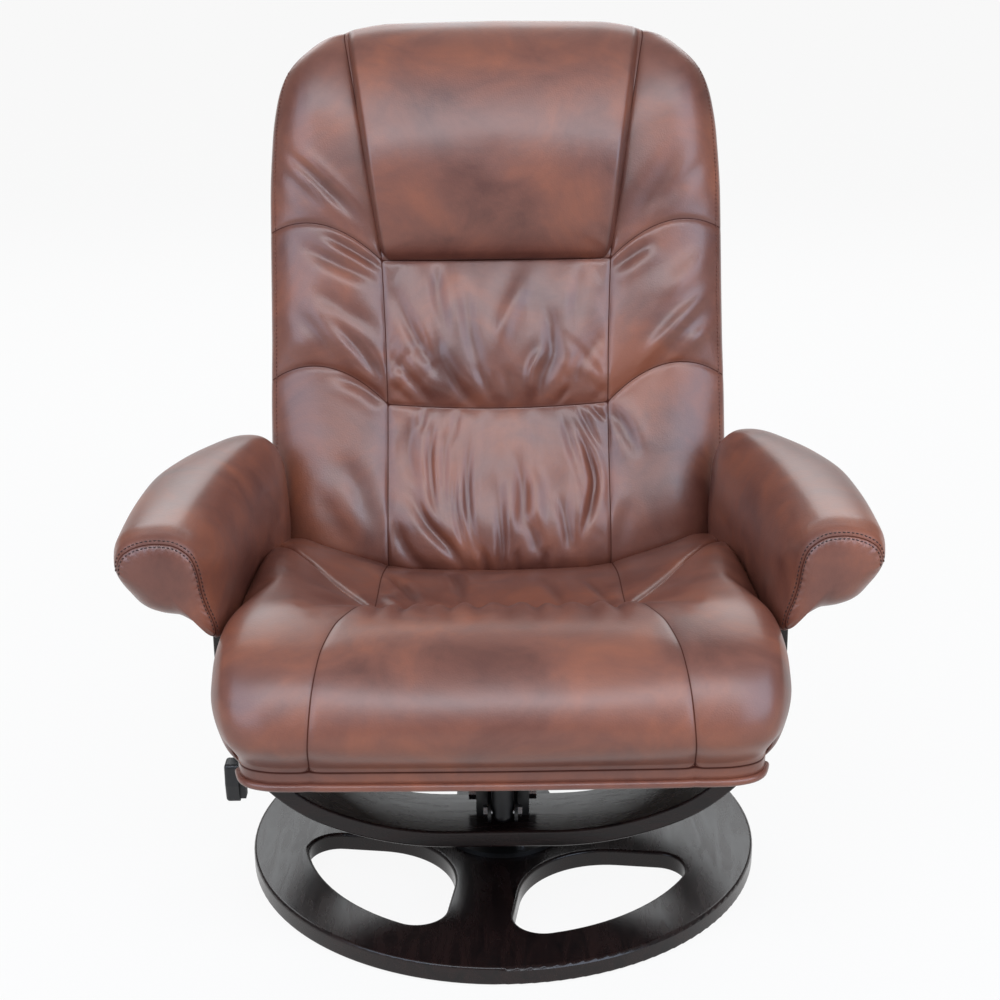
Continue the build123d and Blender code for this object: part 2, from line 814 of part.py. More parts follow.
export_step(hinge_side, "parts/back_hinge_plate_left.step")
export_step(flipped(hinge_side), "parts/back_hinge_plate_right.step")
export_step(group(hinge_bolts), "parts/hinge_bolts.step")

web_plane = flat_plane.offset(-(cushion_depth + lay))
back_straps = []
for up in (70.0, 160.0, 250.0, 340.0, 430.0):
    strap_flat = Pos(0, up) * Rectangle(2 * (frame_half + 4), back_web_width)
    back_straps.append(extrude(web_plane * strap_flat, amount=-web_thickness))
export_step(group(back_straps), "parts/back_webbing.step")

# Clamp lever: shaft, nut inside, handle outside
handle_out = handle_inset - hoop_outer
handle_in = handle_out + handle_width
lever_shaft = rod_x(
    lever_y, lever_z, lever_shaft_radius, handle_in - 6, -rail_inner + 16
)
export_step(lever_shaft, "parts/lever_shaft.step")
nut = hex_x(lever_y, lever_z, 22, -rail_inner + 4.3, -rail_inner + 13)
nut -= rod_x(lever_y, lever_z, lever_shaft_radius + press, -300, 0)
export_step(nut, "parts/clamp_nut.step")
handle = rod_x(lever_y, lever_z, 10, handle_in - 4, handle_in + handle_boss)
edges = [
    Line((lever_y - 12, lever_z + 20), (lever_y + 12, lever_z + 20)),
    Line((lever_y + 12, lever_z + 20), (lever_y + 13, lever_z - 6)),
    Line((lever_y + 13, lever_z - 6), (lever_y + 8, lever_z - paddle_drop)),
    Line((lever_y + 8, lever_z - paddle_drop), (lever_y - 8, lever_z - paddle_drop)),
    Line((lever_y - 8, lever_z - paddle_drop), (lever_y - 13, lever_z - 6)),
    Line((lever_y - 13, lever_z - 6), (lever_y - 12, lever_z + 20)),
]
paddle_flat = make_face(edges)
paddle_flat = fillet(paddle_flat.vertices(), 5)
paddle = plate_x(paddle_flat, handle_out, handle_in)
paddle = fillet(paddle.edges().group_by(Axis.X)[0], 4)
handle += paddle
grip = slab(
    handle_in - 1,
    handle_in + handle_grip,
    lever_y - 7,
    lever_y + 7,
    lever_z - paddle_drop + 4,
    lever_z - 4,
)
handle += grip
handle -= rod_x(
    lever_y, lever_z, lever_shaft_radius + press, handle_in - 6 - press, 0
)
export_step(handle, "parts/lever_handle.step")

# Spring strut: tube with a round foot, and its rod
strut_length = hypot(strut_head_y - strut_foot_y, strut_head_z - strut_foot_z)
strut_up = (
    0,
    (strut_head_y - strut_foot_y) / strut_length,
    (strut_head_z - strut_foot_z) / strut_length,
)
strut_plane = Plane(
    origin=(0, strut_foot_y, strut_foot_z), x_dir=(1, 0, 0), z_dir=strut_up
)
tube_end = 80.0
rod_start = 36.0
strut_tube = strut_plane * Pos(0, 0, tube_end / 2) * Cylinder(strut_radius, tube_end)
strut_tube = fillet(strut_tube.edges().group_by(Axis.Z)[-1], 3)
strut_tube += Pos(0, strut_foot_y, strut_foot_z) * Sphere(strut_radius)
strut_tube -= rod_x(strut_foot_y, strut_foot_z, strut_bolt_radius + slip, -30, 30)
strut_tube -= (
    strut_plane
    * Pos(0, 0, rod_start + (tube_end - rod_start + 20) / 2 - 8)
    * Cylinder(strut_rod_radius + slip, tube_end - rod_start + 20)
)
export_step(strut_tube, "parts/strut_tube.step")
strut_rod = (
    strut_plane
    * Pos(0, 0, (rod_start + strut_length) / 2)
    * Cylinder(strut_rod_radius, strut_length - rod_start)
)
strut_rod += rod_x(strut_head_y, strut_head_z, 8, -8, 8)
strut_rod -= rod_x(strut_head_y, strut_head_z, 4.6, -20, 20)
export_step(strut_rod, "parts/strut_rod.step")
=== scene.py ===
import json
import math
import bmesh
import bpy
import numpy as np
from mathutils import Matrix, Vector


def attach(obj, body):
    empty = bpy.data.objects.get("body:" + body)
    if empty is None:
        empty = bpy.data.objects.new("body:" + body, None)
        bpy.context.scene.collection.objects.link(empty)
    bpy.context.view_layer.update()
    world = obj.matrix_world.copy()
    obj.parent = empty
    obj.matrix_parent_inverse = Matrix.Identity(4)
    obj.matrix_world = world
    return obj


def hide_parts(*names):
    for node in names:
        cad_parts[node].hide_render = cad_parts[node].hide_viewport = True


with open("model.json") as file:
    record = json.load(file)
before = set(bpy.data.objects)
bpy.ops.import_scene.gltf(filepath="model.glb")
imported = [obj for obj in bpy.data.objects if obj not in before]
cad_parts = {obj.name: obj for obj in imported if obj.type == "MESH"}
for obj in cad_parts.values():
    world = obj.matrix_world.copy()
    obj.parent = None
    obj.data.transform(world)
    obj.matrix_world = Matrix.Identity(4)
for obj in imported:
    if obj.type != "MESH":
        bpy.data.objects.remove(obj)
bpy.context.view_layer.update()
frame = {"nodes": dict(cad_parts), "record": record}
scene = bpy.context.scene


# Small helpers for curves and meshes
def through(stations, values, where):
    # smooth curve through given stations that never overshoots them
    x = np.asarray(stations, float)
    y = np.asarray(values, float)
    step = np.diff(x)
    slope = np.diff(y) / step
    lean = np.zeros_like(y)
    same = slope[:-1] * slope[1:] > 0
    mean = 2 * slope[:-1] * slope[1:] / np.where(same, slope[:-1] + slope[1:], 1)
    lean[1:-1] = np.where(same, mean, 0)
    lean[0] = slope[0]
    lean[-1] = slope[-1]
    w = np.clip(np.asarray(where, float), x[0], x[-1])
    k = np.clip(np.searchsorted(x, w) - 1, 0, len(step) - 1)
    t = (w - x[k]) / step[k]
    a = (1 + 2 * t) * (1 - t) ** 2 * y[k] + t * (1 - t) ** 2 * step[k] * lean[k]
    b = t * t * (3 - 2 * t) * y[k + 1] + t * t * (t - 1) * step[k] * lean[k + 1]
    return a + b


def gentle(t):
    t = np.clip(t, 0, 1)
    return t * t * (3 - 2 * t)


def spaced(count, fine=0.0):
    # 0 to 1, closer together near both ends when fine is above 0
    t = np.linspace(0, 1, count + 1)
    return t - fine * np.sin(2 * math.pi * t) / (2 * math.pi)


def coordsOf(mesh):
    co = np.zeros(len(mesh.vertices) * 3)
    mesh.vertices.foreach_get("co", co)
    return co.reshape(-1, 3)


def setCoords(mesh, co):
    mesh.vertices.foreach_set("co", np.ascontiguousarray(co, float).ravel())
    mesh.update()


def newPiece(name, points, faces, finish):
    mesh = bpy.data.meshes.new(name)
    mesh.from_pydata([tuple(p) for p in points], [], faces)
    mesh.validate()
    piece = bpy.data.objects.new(name, mesh)
    scene.collection.objects.link(piece)
    mesh.materials.append(finish)
    turnOutward(mesh)
    mesh.polygons.foreach_set("use_smooth", [True] * len(mesh.polygons))
    return piece


def turnOutward(mesh):
    bm = bmesh.new()
    bm.from_mesh(mesh)
    bmesh.ops.recalc_face_normals(bm, faces=bm.faces)
    bm.to_mesh(mesh)
    bm.free()


def gridFaces(table):
    # quads between the rows of a table of point numbers
    faces = []
    for low, high in zip(table[:-1], table[1:]):
        for k in range(len(low) - 1):
            quad = [low[k], low[k + 1], high[k + 1], high[k]]
            face = list(dict.fromkeys(quad))
            if len(face) > 2:
                faces.append(face)
    return faces


def normalsOf(mesh):
    normals = np.zeros(len(mesh.vertices) * 3)
    mesh.vertices.foreach_get("normal", normals)
    return normals.reshape(-1, 3)


def setNumbers(mesh, name, numbers):
    found = mesh.attributes.get(name)
    layer = found or mesh.attributes.new(name, "FLOAT", "POINT")
    layer.data.foreach_set("value", np.asarray(numbers, np.float32))


def numbersOf(mesh, name):
    numbers = np.zeros(len(mesh.vertices))
    mesh.attributes[name].data.foreach_get("value", numbers)
    return numbers


# the seam attribute fades out this far from a sewn line
seamReach = 0.008


def seamTone(gap):
    return np.clip(1 - gap / seamReach, 0, 1)


def refine(piece, sharp=None, sharpness=0.7):
    # one subdivision, with the seam edges kept crisp, then made a plain mesh
    mesh = piece.data
    if sharp is not None:
        crease = mesh.attributes.new("crease_edge", "FLOAT", "EDGE")
        ends = np.zeros(len(mesh.edges) * 2, int)
        mesh.edges.foreach_get("vertices", ends)
        ends = ends.reshape(-1, 2)
        both = sharp[ends[:, 0]] & sharp[ends[:, 1]]
        crease.data.foreach_set("value", np.where(both, sharpness, 0).astype(np.float32))
    soften = piece.modifiers.new("soften", "SUBSURF")
    soften.levels = 1
    soften.render_levels = 1
    settle(piece)


def closeHoles(piece):
    # flat faces over the open loops that the fill left, such as a hidden rear
    bm = bmesh.new()
    bm.from_mesh(piece.data)
    rims = [e for e in bm.edges if e.is_boundary]
    found = bmesh.ops.holes_fill(bm, edges=rims, sides=0)
    bmesh.ops.triangulate(bm, faces=found["faces"])
    bmesh.ops.recalc_face_normals(bm, faces=bm.faces)
    bm.to_mesh(piece.data)
    bm.free()


def settle(piece):
    graph = bpy.context.evaluated_depsgraph_get()
    done = bpy.data.meshes.new_from_object(piece.evaluated_get(graph))
    name = piece.data.name
    piece.modifiers.clear()
    piece.data = done
    done.name = name
    done.polygons.foreach_set("use_smooth", [True] * len(done.polygons))


# Cloth: the skin fills with pressure while its seams stay sewn down
clothFeel = {
    "frames": 22,
    "mass": 0.3,
    "pressure": 4.0,
    "tension": 30.0,
    "shear": 12.0,
    "bending": 1.5,
    "quality": 7,
    "pinStiffness": 2.0,
}


def swell(piece, held, slackShape=None, cap=0.024, pressure=None, frames=None):
    mesh = piece.data
    start = coordsOf(mesh)
    sewn = piece.vertex_groups.new(name="sewn")
    levels = np.round(np.clip(held, 0, 1), 2)
    for level in np.unique(levels):
        if level > 0:
            chosen = np.nonzero(levels == level)[0].tolist()
            sewn.add(chosen, float(level), "REPLACE")
    cloth = piece.modifiers.new("fill", "CLOTH")
    feel = cloth.settings
    feel.quality = clothFeel["quality"]
    feel.mass = clothFeel["mass"]
    feel.tension_stiffness = clothFeel["tension"]
    feel.compression_stiffness = clothFeel["tension"]
    feel.shear_stiffness = clothFeel["shear"]
    feel.bending_stiffness = clothFeel["bending"]
    feel.use_pressure = True
    feel.uniform_pressure_force = clothFeel["pressure"] if pressure is None else pressure
    feel.vertex_group_mass = "sewn"
    feel.pin_stiffness = clothFeel["pinStiffness"]
    feel.effector_weights.gravity = 0
    cloth.collision_settings.use_collision = False
    if slackShape is not None:
        piece.shape_key_add(name="Basis")
        slack = piece.shape_key_add(name="slack")
        slack.data.foreach_set("co", np.ascontiguousarray(slackShape, float).ravel())
        feel.rest_shape_key = slack
    last = clothFeel["frames"] if frames is None else frames
    cloth.point_cache.frame_start = 1
    cloth.point_cache.frame_end = last
    for k in range(1, last + 1):
        scene.frame_set(k)
    graph = bpy.context.evaluated_depsgraph_get()
    filled = coordsOf(piece.evaluated_get(graph).to_mesh())
    piece.evaluated_get(graph).to_mesh_clear()
    piece.modifiers.clear()
    piece.vertex_groups.clear()
    if slackShape is not None:
        piece.shape_key_clear()
    scene.frame_set(1)
    move = filled - start
    far = np.linalg.norm(move, axis=1)
    move *= np.minimum(1, cap / np.maximum(far, 1e-9))[:, None]
    setCoords(mesh, start + move)
    print("filled", piece.name, "moved up to %.1f mm" % (1000 * np.minimum(far, cap).max()))


# Folds: furrows (height below 0) and ridges along given lines on a panel
foldShape = {
    "reach": 5,
    "steps": 8,
    "fade": 2.4,
    "least": 0.04,
    "lip": 0.3,
    "lipAt": 2.1,
    "lipWidth": 1.15,
    "fullTone": 0.004,
}


def foldHeight(across, up, folds):
    form = foldShape
    total = np.zeros_like(across)
    for width, height, line in folds:
        knots = np.array(line)
        low = knots.min(0) - form["reach"] * width
        high = knots.max(0) + form["reach"] * width
        near = (across > low[0]) & (across < high[0]) & (up > low[1]) & (up < high[1])
        px = across[near]
        pu = up[near]
        station = np.arange(len(knots))
        where = np.linspace(0, len(knots) - 1, form["steps"] * (len(knots) - 1) + 1)
        curve = np.stack([through(station, knots[:, k], where) for k in (0, 1)], -1)
        best = np.full(px.shape, np.inf)
        share = np.zeros(px.shape)
        for k, (a, b) in enumerate(zip(curve[:-1], curve[1:])):
            run = b - a
            t = np.clip(((px - a[0]) * run[0] + (pu - a[1]) * run[1]) / (run @ run), 0, 1)
            away = np.hypot(px - a[0] - t * run[0], pu - a[1] - t * run[1])
            nearer = away < best
            best = np.where(nearer, away, best)
            share = np.where(nearer, (k + t) / (len(curve) - 1), share)
        fade = gentle(np.minimum(share, 1 - share) * form["fade"] + form["least"])
        core = np.exp(-((best / width) ** 2))
        lip = np.exp(-(((best - form["lipAt"] * width) / (form["lipWidth"] * width)) ** 2))
        total[near] += height * fade * (core - form["lip"] * lip)
    return total


def pressFolds(mesh, co, height, along):
    # move the points and keep how far, for the painted shade and darker leather in the furrows
    setCoords(mesh, co + height[:, None] * along)
    setNumbers(mesh, "fold", np.clip(height / foldShape["fullTone"], -1, 1))


def toneOf(across, up, spots):
    # above 0 rustier, hand-rubbed colour; below 0 darker, painted shade on leather that faces down
    total = np.zeros_like(across)
    for x, u, wide, tall, shift in spots:
        total += shift * np.exp(-(((across - x) / wide) ** 2) - ((up - u) / tall) ** 2)
    return total


# Finishes
def shaderOf(name):
    finish = bpy.data.materials.new(name)
    finish.use_nodes = True
    tree = finish.node_tree
    return finish, tree, tree.nodes["Principled BSDF"]


def addNode(tree, kind, **values):
    node = tree.nodes.new(kind)
    for key, value in values.items():
        if hasattr(node, key):
            setattr(node, key, value)
        else:
            node.inputs[key.replace("_", " ")].default_value = value
    return node


def srgb(red, green, blue):
    # screen colour, 0 to 255, as a linear colour
    out = []
    for c in (red, green, blue):
        c = c / 255
        out.append(c / 12.92 if c <= 0.04045 else ((c + 0.055) / 1.055) ** 2.4)
    return (*out, 1.0)


def ramp(tree, source, stops):
    node = tree.nodes.new("ShaderNodeValToRGB")
    tree.links.new(source, node.inputs["Fac"])
    first, last = node.color_ramp.elements
    first.position, first.color = stops[0]
    last.position, last.color = stops[-1]
    for position, color in stops[1:-1]:
        node.color_ramp.elements.new(position).color = color
    return node.outputs["Color"]


def feed(tree, value, socket):
    # a link from another node, or a plain value
    if hasattr(value, "is_linked"):
        tree.links.new(value, socket)
    else:
        socket.default_value = value


def mixColors(tree, factor, a, b):
    node = tree.nodes.new("ShaderNodeMix")
    node.data_type = "RGBA"
    for value, k in ((factor, 0), (a, 6), (b, 7)):
        feed(tree, value, node.inputs[k])
    return node.outputs[2]


def spread(tree, source, low, high, fromLow=0.0, fromHigh=1.0):
    node = tree.nodes.new("ShaderNodeMapRange")
    tree.links.new(source, node.inputs["Value"])
    node.inputs["From Min"].default_value = fromLow
    node.inputs["From Max"].default_value = fromHigh
    node.inputs["To Min"].default_value = low
    node.inputs["To Max"].default_value = high
    return node.outputs["Result"]


def math2(tree, kind, a, b):
    node = tree.nodes.new("ShaderNodeMath")
    node.operation = kind
    feed(tree, a, node.inputs[0])
    feed(tree, b, node.inputs[1])
    return node.outputs[0]


def objectPlace(tree, stretch=(1, 1, 1)):
    place = addNode(tree, "ShaderNodeTexCoord").outputs["Object"]
    turn = addNode(tree, "ShaderNodeMapping")
    turn.inputs["Scale"].default_value = stretch
    tree.links.new(place, turn.inputs["Vector"])
    return place, turn.outputs["Vector"]


def noise(tree, place, scale, detail, roughness=0.5, distortion=0.0):
    node = addNode(tree, "ShaderNodeTexNoise", Scale=scale, Detail=detail, Roughness=roughness)
    node.inputs["Distortion"].default_value = distortion
    tree.links.new(place, node.inputs["Vector"])
    return node.outputs["Fac"]


def bumped(tree, skin, height, strength, distance):
    bump = addNode(tree, "ShaderNodeBump", Strength=strength, Distance=distance)
    tree.links.new(height, bump.inputs["Height"])
    tree.links.new(bump.outputs["Normal"], skin.inputs["Normal"])


leatherLook = {
    "deep": srgb(86, 46, 36),
    "brown": srgb(107, 61, 47),
    "rust": srgb(128, 72, 50),
    "seam": srgb(56, 26, 20),
    # furrow colour: painted shade in the furrows, together with leather that is darker in its creases
    "furrowShadeAndWear": srgb(70, 32, 24),
    "furrowShadeAndWearStrength": 0.55,
    "cloudScale": 11.0,
    "streakScale": 48.0,
    "stretch": (0.85, 1.0, 1.0),
    "grainScale": 620.0,
    "crinkleScale": 160.0,
    "streak": 0.08,
    "roughness": (0.38, 0.48),
    "slitRoughness": 0.45,
    "specular": 0.5,
    "coat": 0.36,
    "coatRoughness": 0.27,
}


def burnishedLeather():
    look = leatherLook
    finish, tree, skin = shaderOf("burnished_leather")
    link = tree.links.new
    place, rubbed = objectPlace(tree, look["stretch"])
    cloud = noise(tree, rubbed, look["cloudScale"], 6.0, 0.58, 0.6)
    streak = noise(tree, rubbed, look["streakScale"], 5.0, 0.65)
    blend = math2(tree, "ADD", cloud, spread(tree, streak, -look["streak"], look["streak"]))
    # spots: rubbed colour, and painted shade in the darker spots
    rubbedToneAndShade = addNode(tree, "ShaderNodeAttribute", attribute_name="tone").outputs["Fac"]
    blend = math2(tree, "ADD", blend, rubbedToneAndShade)
    dyeAndShade = ramp(tree, blend, [(0.32, look["deep"]), (0.5, look["brown"]), (0.7, look["rust"])])
    # seam runs from 0 at 8 mm away to 1 on the sewn line
    sewn = addNode(tree, "ShaderNodeAttribute", attribute_name="seam").outputs["Fac"]
    slit = spread(tree, sewn, 0.0, 0.95, 0.85, 0.97)
    around = spread(tree, sewn, 0.0, 0.22, 0.4, 0.9)
    # fold runs from -1 in a furrow to 1 on a ridge; furrows get painted shade and darker creased
    # leather
    creased = addNode(tree, "ShaderNodeAttribute", attribute_name="fold").outputs["Fac"]
    # furrows darken: painted crease shade, together with darker creased leather
    furrowShadeAndWear = spread(tree, creased, look["furrowShadeAndWearStrength"], 0.0, -1.0, -0.1)
    dyeAndShade = mixColors(tree, furrowShadeAndWear, dyeAndShade, look["furrowShadeAndWear"])
    dyeAndShade = mixColors(tree, math2(tree, "MAXIMUM", slit, around), dyeAndShade, look["seam"])
    link(dyeAndShade, skin.inputs["Base Color"])
    gloss = spread(tree, cloud, *look["roughness"], 0.3, 0.7)
    gloss = math2(tree, "ADD", gloss, math2(tree, "MULTIPLY", slit, look["slitRoughness"]))
    link(gloss, skin.inputs["Roughness"])
    skin.inputs["Specular IOR Level"].default_value = look["specular"]
    skin.inputs["Coat Weight"].default_value = look["coat"]
    link(spread(tree, slit, look["coat"], 0.0), skin.inputs["Coat Weight"])
    link(mixColors(tree, slit, (1, 1, 1, 1), (0, 0, 0, 1)), skin.inputs["Specular Tint"])
    skin.inputs["Coat Roughness"].default_value = look["coatRoughness"]
    grain = addNode(tree, "ShaderNodeTexVoronoi", feature="SMOOTH_F1", Scale=look["grainScale"])
    link(place, grain.inputs["Vector"])
    crinkle = noise(tree, place, look["crinkleScale"], 4.0, 0.6)
    height = math2(tree, "ADD", grain.outputs["Distance"], spread(tree, crinkle, 0.0, 0.9))
    bumped(tree, skin, height, 0.22, 0.0006)
    return finish


woodLook = {
    "dark": srgb(17, 13, 13),
    "light": srgb(36, 22, 20),
    "roughness": (0.2, 0.32),
    "specular": 0.3,
    "coat": 0.12,
    "coatRoughness": 0.16,
}


def espressoWood(name, stretch):
    look = woodLook
    finish, tree, skin = shaderOf(name)
    link = tree.links.new
    turned = objectPlace(tree, stretch)[1]
    grain = noise(tree, turned, 22.0, 6.0, 0.62, 0.9)
    pore = noise(tree, turned, 130.0, 3.0, 0.7)
    tone = ramp(tree, grain, [(0.3, look["dark"]), (0.72, look["light"])])
    link(tone, skin.inputs["Base Color"])
    link(spread(tree, grain, *look["roughness"], 0.3, 0.7), skin.inputs["Roughness"])
    skin.inputs["Specular IOR Level"].default_value = look["specular"]
    skin.inputs["Coat Weight"].default_value = look["coat"]
    skin.inputs["Coat Roughness"].default_value = look["coatRoughness"]
    bumped(tree, skin, pore, 0.06, 0.0003)
    return finish


def plainFinish(name, low, high, roughness, metal=0.0, scale=180.0, depth=0.0002, stretch=(1, 1, 1)):
    # paint, plastic, metal or board: a close speckle in colour, gloss and height
    finish, tree, skin = shaderOf(name)
    link = tree.links.new
    place, turned = objectPlace(tree, stretch)
    speck = noise(tree, turned, scale, 5.0, 0.65)
    wear = noise(tree, place, 9.0, 3.0)
    link(ramp(tree, wear, [(0.3, low), (0.7, high)]), skin.inputs["Base Color"])
    link(spread(tree, speck, *roughness, 0.3, 0.7), skin.inputs["Roughness"])
    skin.inputs["Metallic"].default_value = metal
    bumped(tree, skin, speck, 0.25, depth)
    return finish


def wovenWebbing():
    finish, tree, skin = shaderOf("woven_webbing")
    link = tree.links.new
    place = addNode(tree, "ShaderNodeTexCoord").outputs["Object"]
    warp = addNode(tree, "ShaderNodeTexWave", bands_direction="X", Scale=90.0)
    weft = addNode(tree, "ShaderNodeTexWave", bands_direction="Y", Scale=90.0)
    link(place, warp.inputs["Vector"])
    link(place, weft.inputs["Vector"])
    weave = math2(tree, "MAXIMUM", warp.outputs["Fac"], weft.outputs["Fac"])
    tone = ramp(tree, weave, [(0.2, srgb(14, 14, 15)), (0.9, srgb(38, 37, 38))])
    link(tone, skin.inputs["Base Color"])
    skin.inputs["Roughness"].default_value = 0.85
    bumped(tree, skin, weave, 0.6, 0.0006)
    return finish


def threadFinish(name, low, high):
    return plainFinish(name, low, high, (0.5, 0.65), 0.0, 900.0, 0.0003)


leather = burnishedLeather()
baseWood = espressoWood("espresso_base", (3.0, 0.5, 3.0))
hoopWood = espressoWood("espresso_hoop", (0.5, 4.0, 4.0))
blackSteel = plainFinish("black_painted_steel", srgb(13, 13, 14), srgb(24, 24, 26), (0.3, 0.45))
steelTones = srgb(150, 152, 156), srgb(190, 192, 196)
brightSteel = plainFinish("brushed_bright_steel", *steelTones, (0.2, 0.34), 1.0, 300.0)
leverTones = srgb(16, 16, 18), srgb(24, 24, 27)
leverPlastic = plainFinish("moulded_lever_plastic", *leverTones, (0.38, 0.5), 0.0, 420.0)
nylon = plainFinish("white_nylon", srgb(206, 206, 202), srgb(222, 222, 218), (0.4, 0.52))
felt = plainFinish("dark_felt", srgb(32, 31, 31), srgb(48, 46, 45), (0.9, 1.0), 0.0, 600.0, 0.0012)
boardTones = srgb(150, 116, 78), srgb(178, 143, 102)
board = plainFinish("raw_plywood", *boardTones, (0.6, 0.75), 0.0, 60.0, 0.0003, (1, 0.15, 3))
webbing = wovenWebbing()
thread = threadFinish("waxed_thread", srgb(84, 44, 34), srgb(120, 70, 54))
paleThread = threadFinish("pale_thread", srgb(140, 92, 70), srgb(168, 116, 92))
darkThread = threadFinish("dark_thread", srgb(44, 24, 20), srgb(68, 38, 32))
slotFinish = {
    "leather": leather,
    "base_wood": baseWood,
    "hoop_wood": hoopWood,
    "board": board,
    "felt": felt,
    "webbing": webbing,
    "nylon": nylon,
    "lever_plastic": leverPlastic,
    "black_steel": blackSteel,
    "bright_steel": brightSteel,
}
for row in frame["record"]["subparts"]:
    target = frame["nodes"][row["node"]]
    target.data.materials.clear()
    target.data.materials.append(slotFinish[row["material_slot"]])
print("finishes:", len(bpy.data.materials))


# Back: points are given across, up the back and out of its front plane
backPlace = {"crease": (0.0, 0.100, 0.337), "lean": 21.0}
leanAngle = math.radians(backPlace["lean"])
backUp = np.array([0, math.sin(leanAngle), math.cos(leanAngle)])
backOut = np.array([0, -math.cos(leanAngle), math.sin(leanAngle)])
backZero = np.array(backPlace["crease"])


def onBack(across, up, out):
    across, up, out = np.broadcast_arrays(across, up, out)
    side = np.array([1.0, 0, 0])
    return backZero + across[..., None] * side + up[..., None] * backUp + out[..., None] * backOut


backForm = {
    "low": -0.030,
    "midSeam": 0.208,
    "headSeam": 0.390,
    "rows": (54, 42, 50),
    "wingColumns": 34,
    "centreColumns": 72,
    "depth": 0.060,
    "sideUp": (-0.030, 0.015, 0.105, 0.208, 0.300, 0.470, 0.552, 0.598, 0.624, 0.648, 0.6585),
    "sideHalf": (0.266, 0.280, 0.2860, 0.2865, 0.2855, 0.286, 0.2825, 0.2765, 0.2695, 0.2565, 0.2455),
    "topAcross": (0.0, 0.133, 0.178, 0.202, 0.219, 0.232, 0.2455),
    "topUp": (0.7030, 0.7000, 0.6928, 0.6838, 0.6760, 0.6690, 0.6585),
    "seamUp": (-0.030, 0.015, 0.208, 0.390, 0.470, 0.555, 0.632, 0.693),
    "seamAcross": (0.137, 0.139, 0.139, 0.145, 0.155, 0.168, 0.181, 0.191),
    "outUp": (-0.030, -0.008, 0.015, 0.045, 0.105, 0.155, 0.208, 0.240, 0.300, 0.350, 0.390),
    "seamOut": (-0.028, 0.000, 0.017, 0.019, 0.009, 0.001, -0.005, 0.005, 0.003, -0.001, -0.002),
    "centreOut": (-0.022, 0.010, 0.026, 0.0265, 0.0125, 0.0025, -0.003, 0.011, 0.006, -0.002, -0.006),
    "wingOut": (-0.024, 0.002, 0.018, 0.022, 0.012, 0.004, -0.001, 0.009, 0.007, 0.003, 0.002),
    "edgeOut": (-0.036, -0.032, -0.028, -0.026, -0.023, -0.022, -0.021, -0.021, -0.021, -0.021, -0.021),
    "headUp": (0.470, 0.556, 0.613, 0.652, 0.681, 0.703),
    "headSeamOut": (0.006, 0.008, 0.004, -0.003, -0.014, -0.029),
    "headCentreOut": (-0.006, -0.006, -0.006, -0.012, -0.024, -0.036),
    "headWingOut": (0.010, 0.011, 0.007, -0.001, -0.013, -0.029),
    "headEdgeOut": (-0.021, -0.021, -0.023, -0.026, -0.029, -0.032),
    "midSag": 0.0065,
    "edgeRise": {"mid": 0.034, "head": 0.040},
    "wingArc": {"mid": 0.030, "head": 0.025, "top": 0.006},
    "seamDip": 0.0025,
    "dipReach": 0.003,
    "rimHeld": 0.004,
    "slack": {"across": 1.025, "up": 1.01},
    "pressure": 2.2,
    "mostSwell": 0.022,
    "heldLow": 0.5,
    "edge": ((0.0022, 0.25), (0.0030, 0.5), (0.0010, 0.8)),
    "tuckedIn": (-0.004, -0.030),
    "foldsFrom": -0.045,
    "foldsFade": 0.02,
}

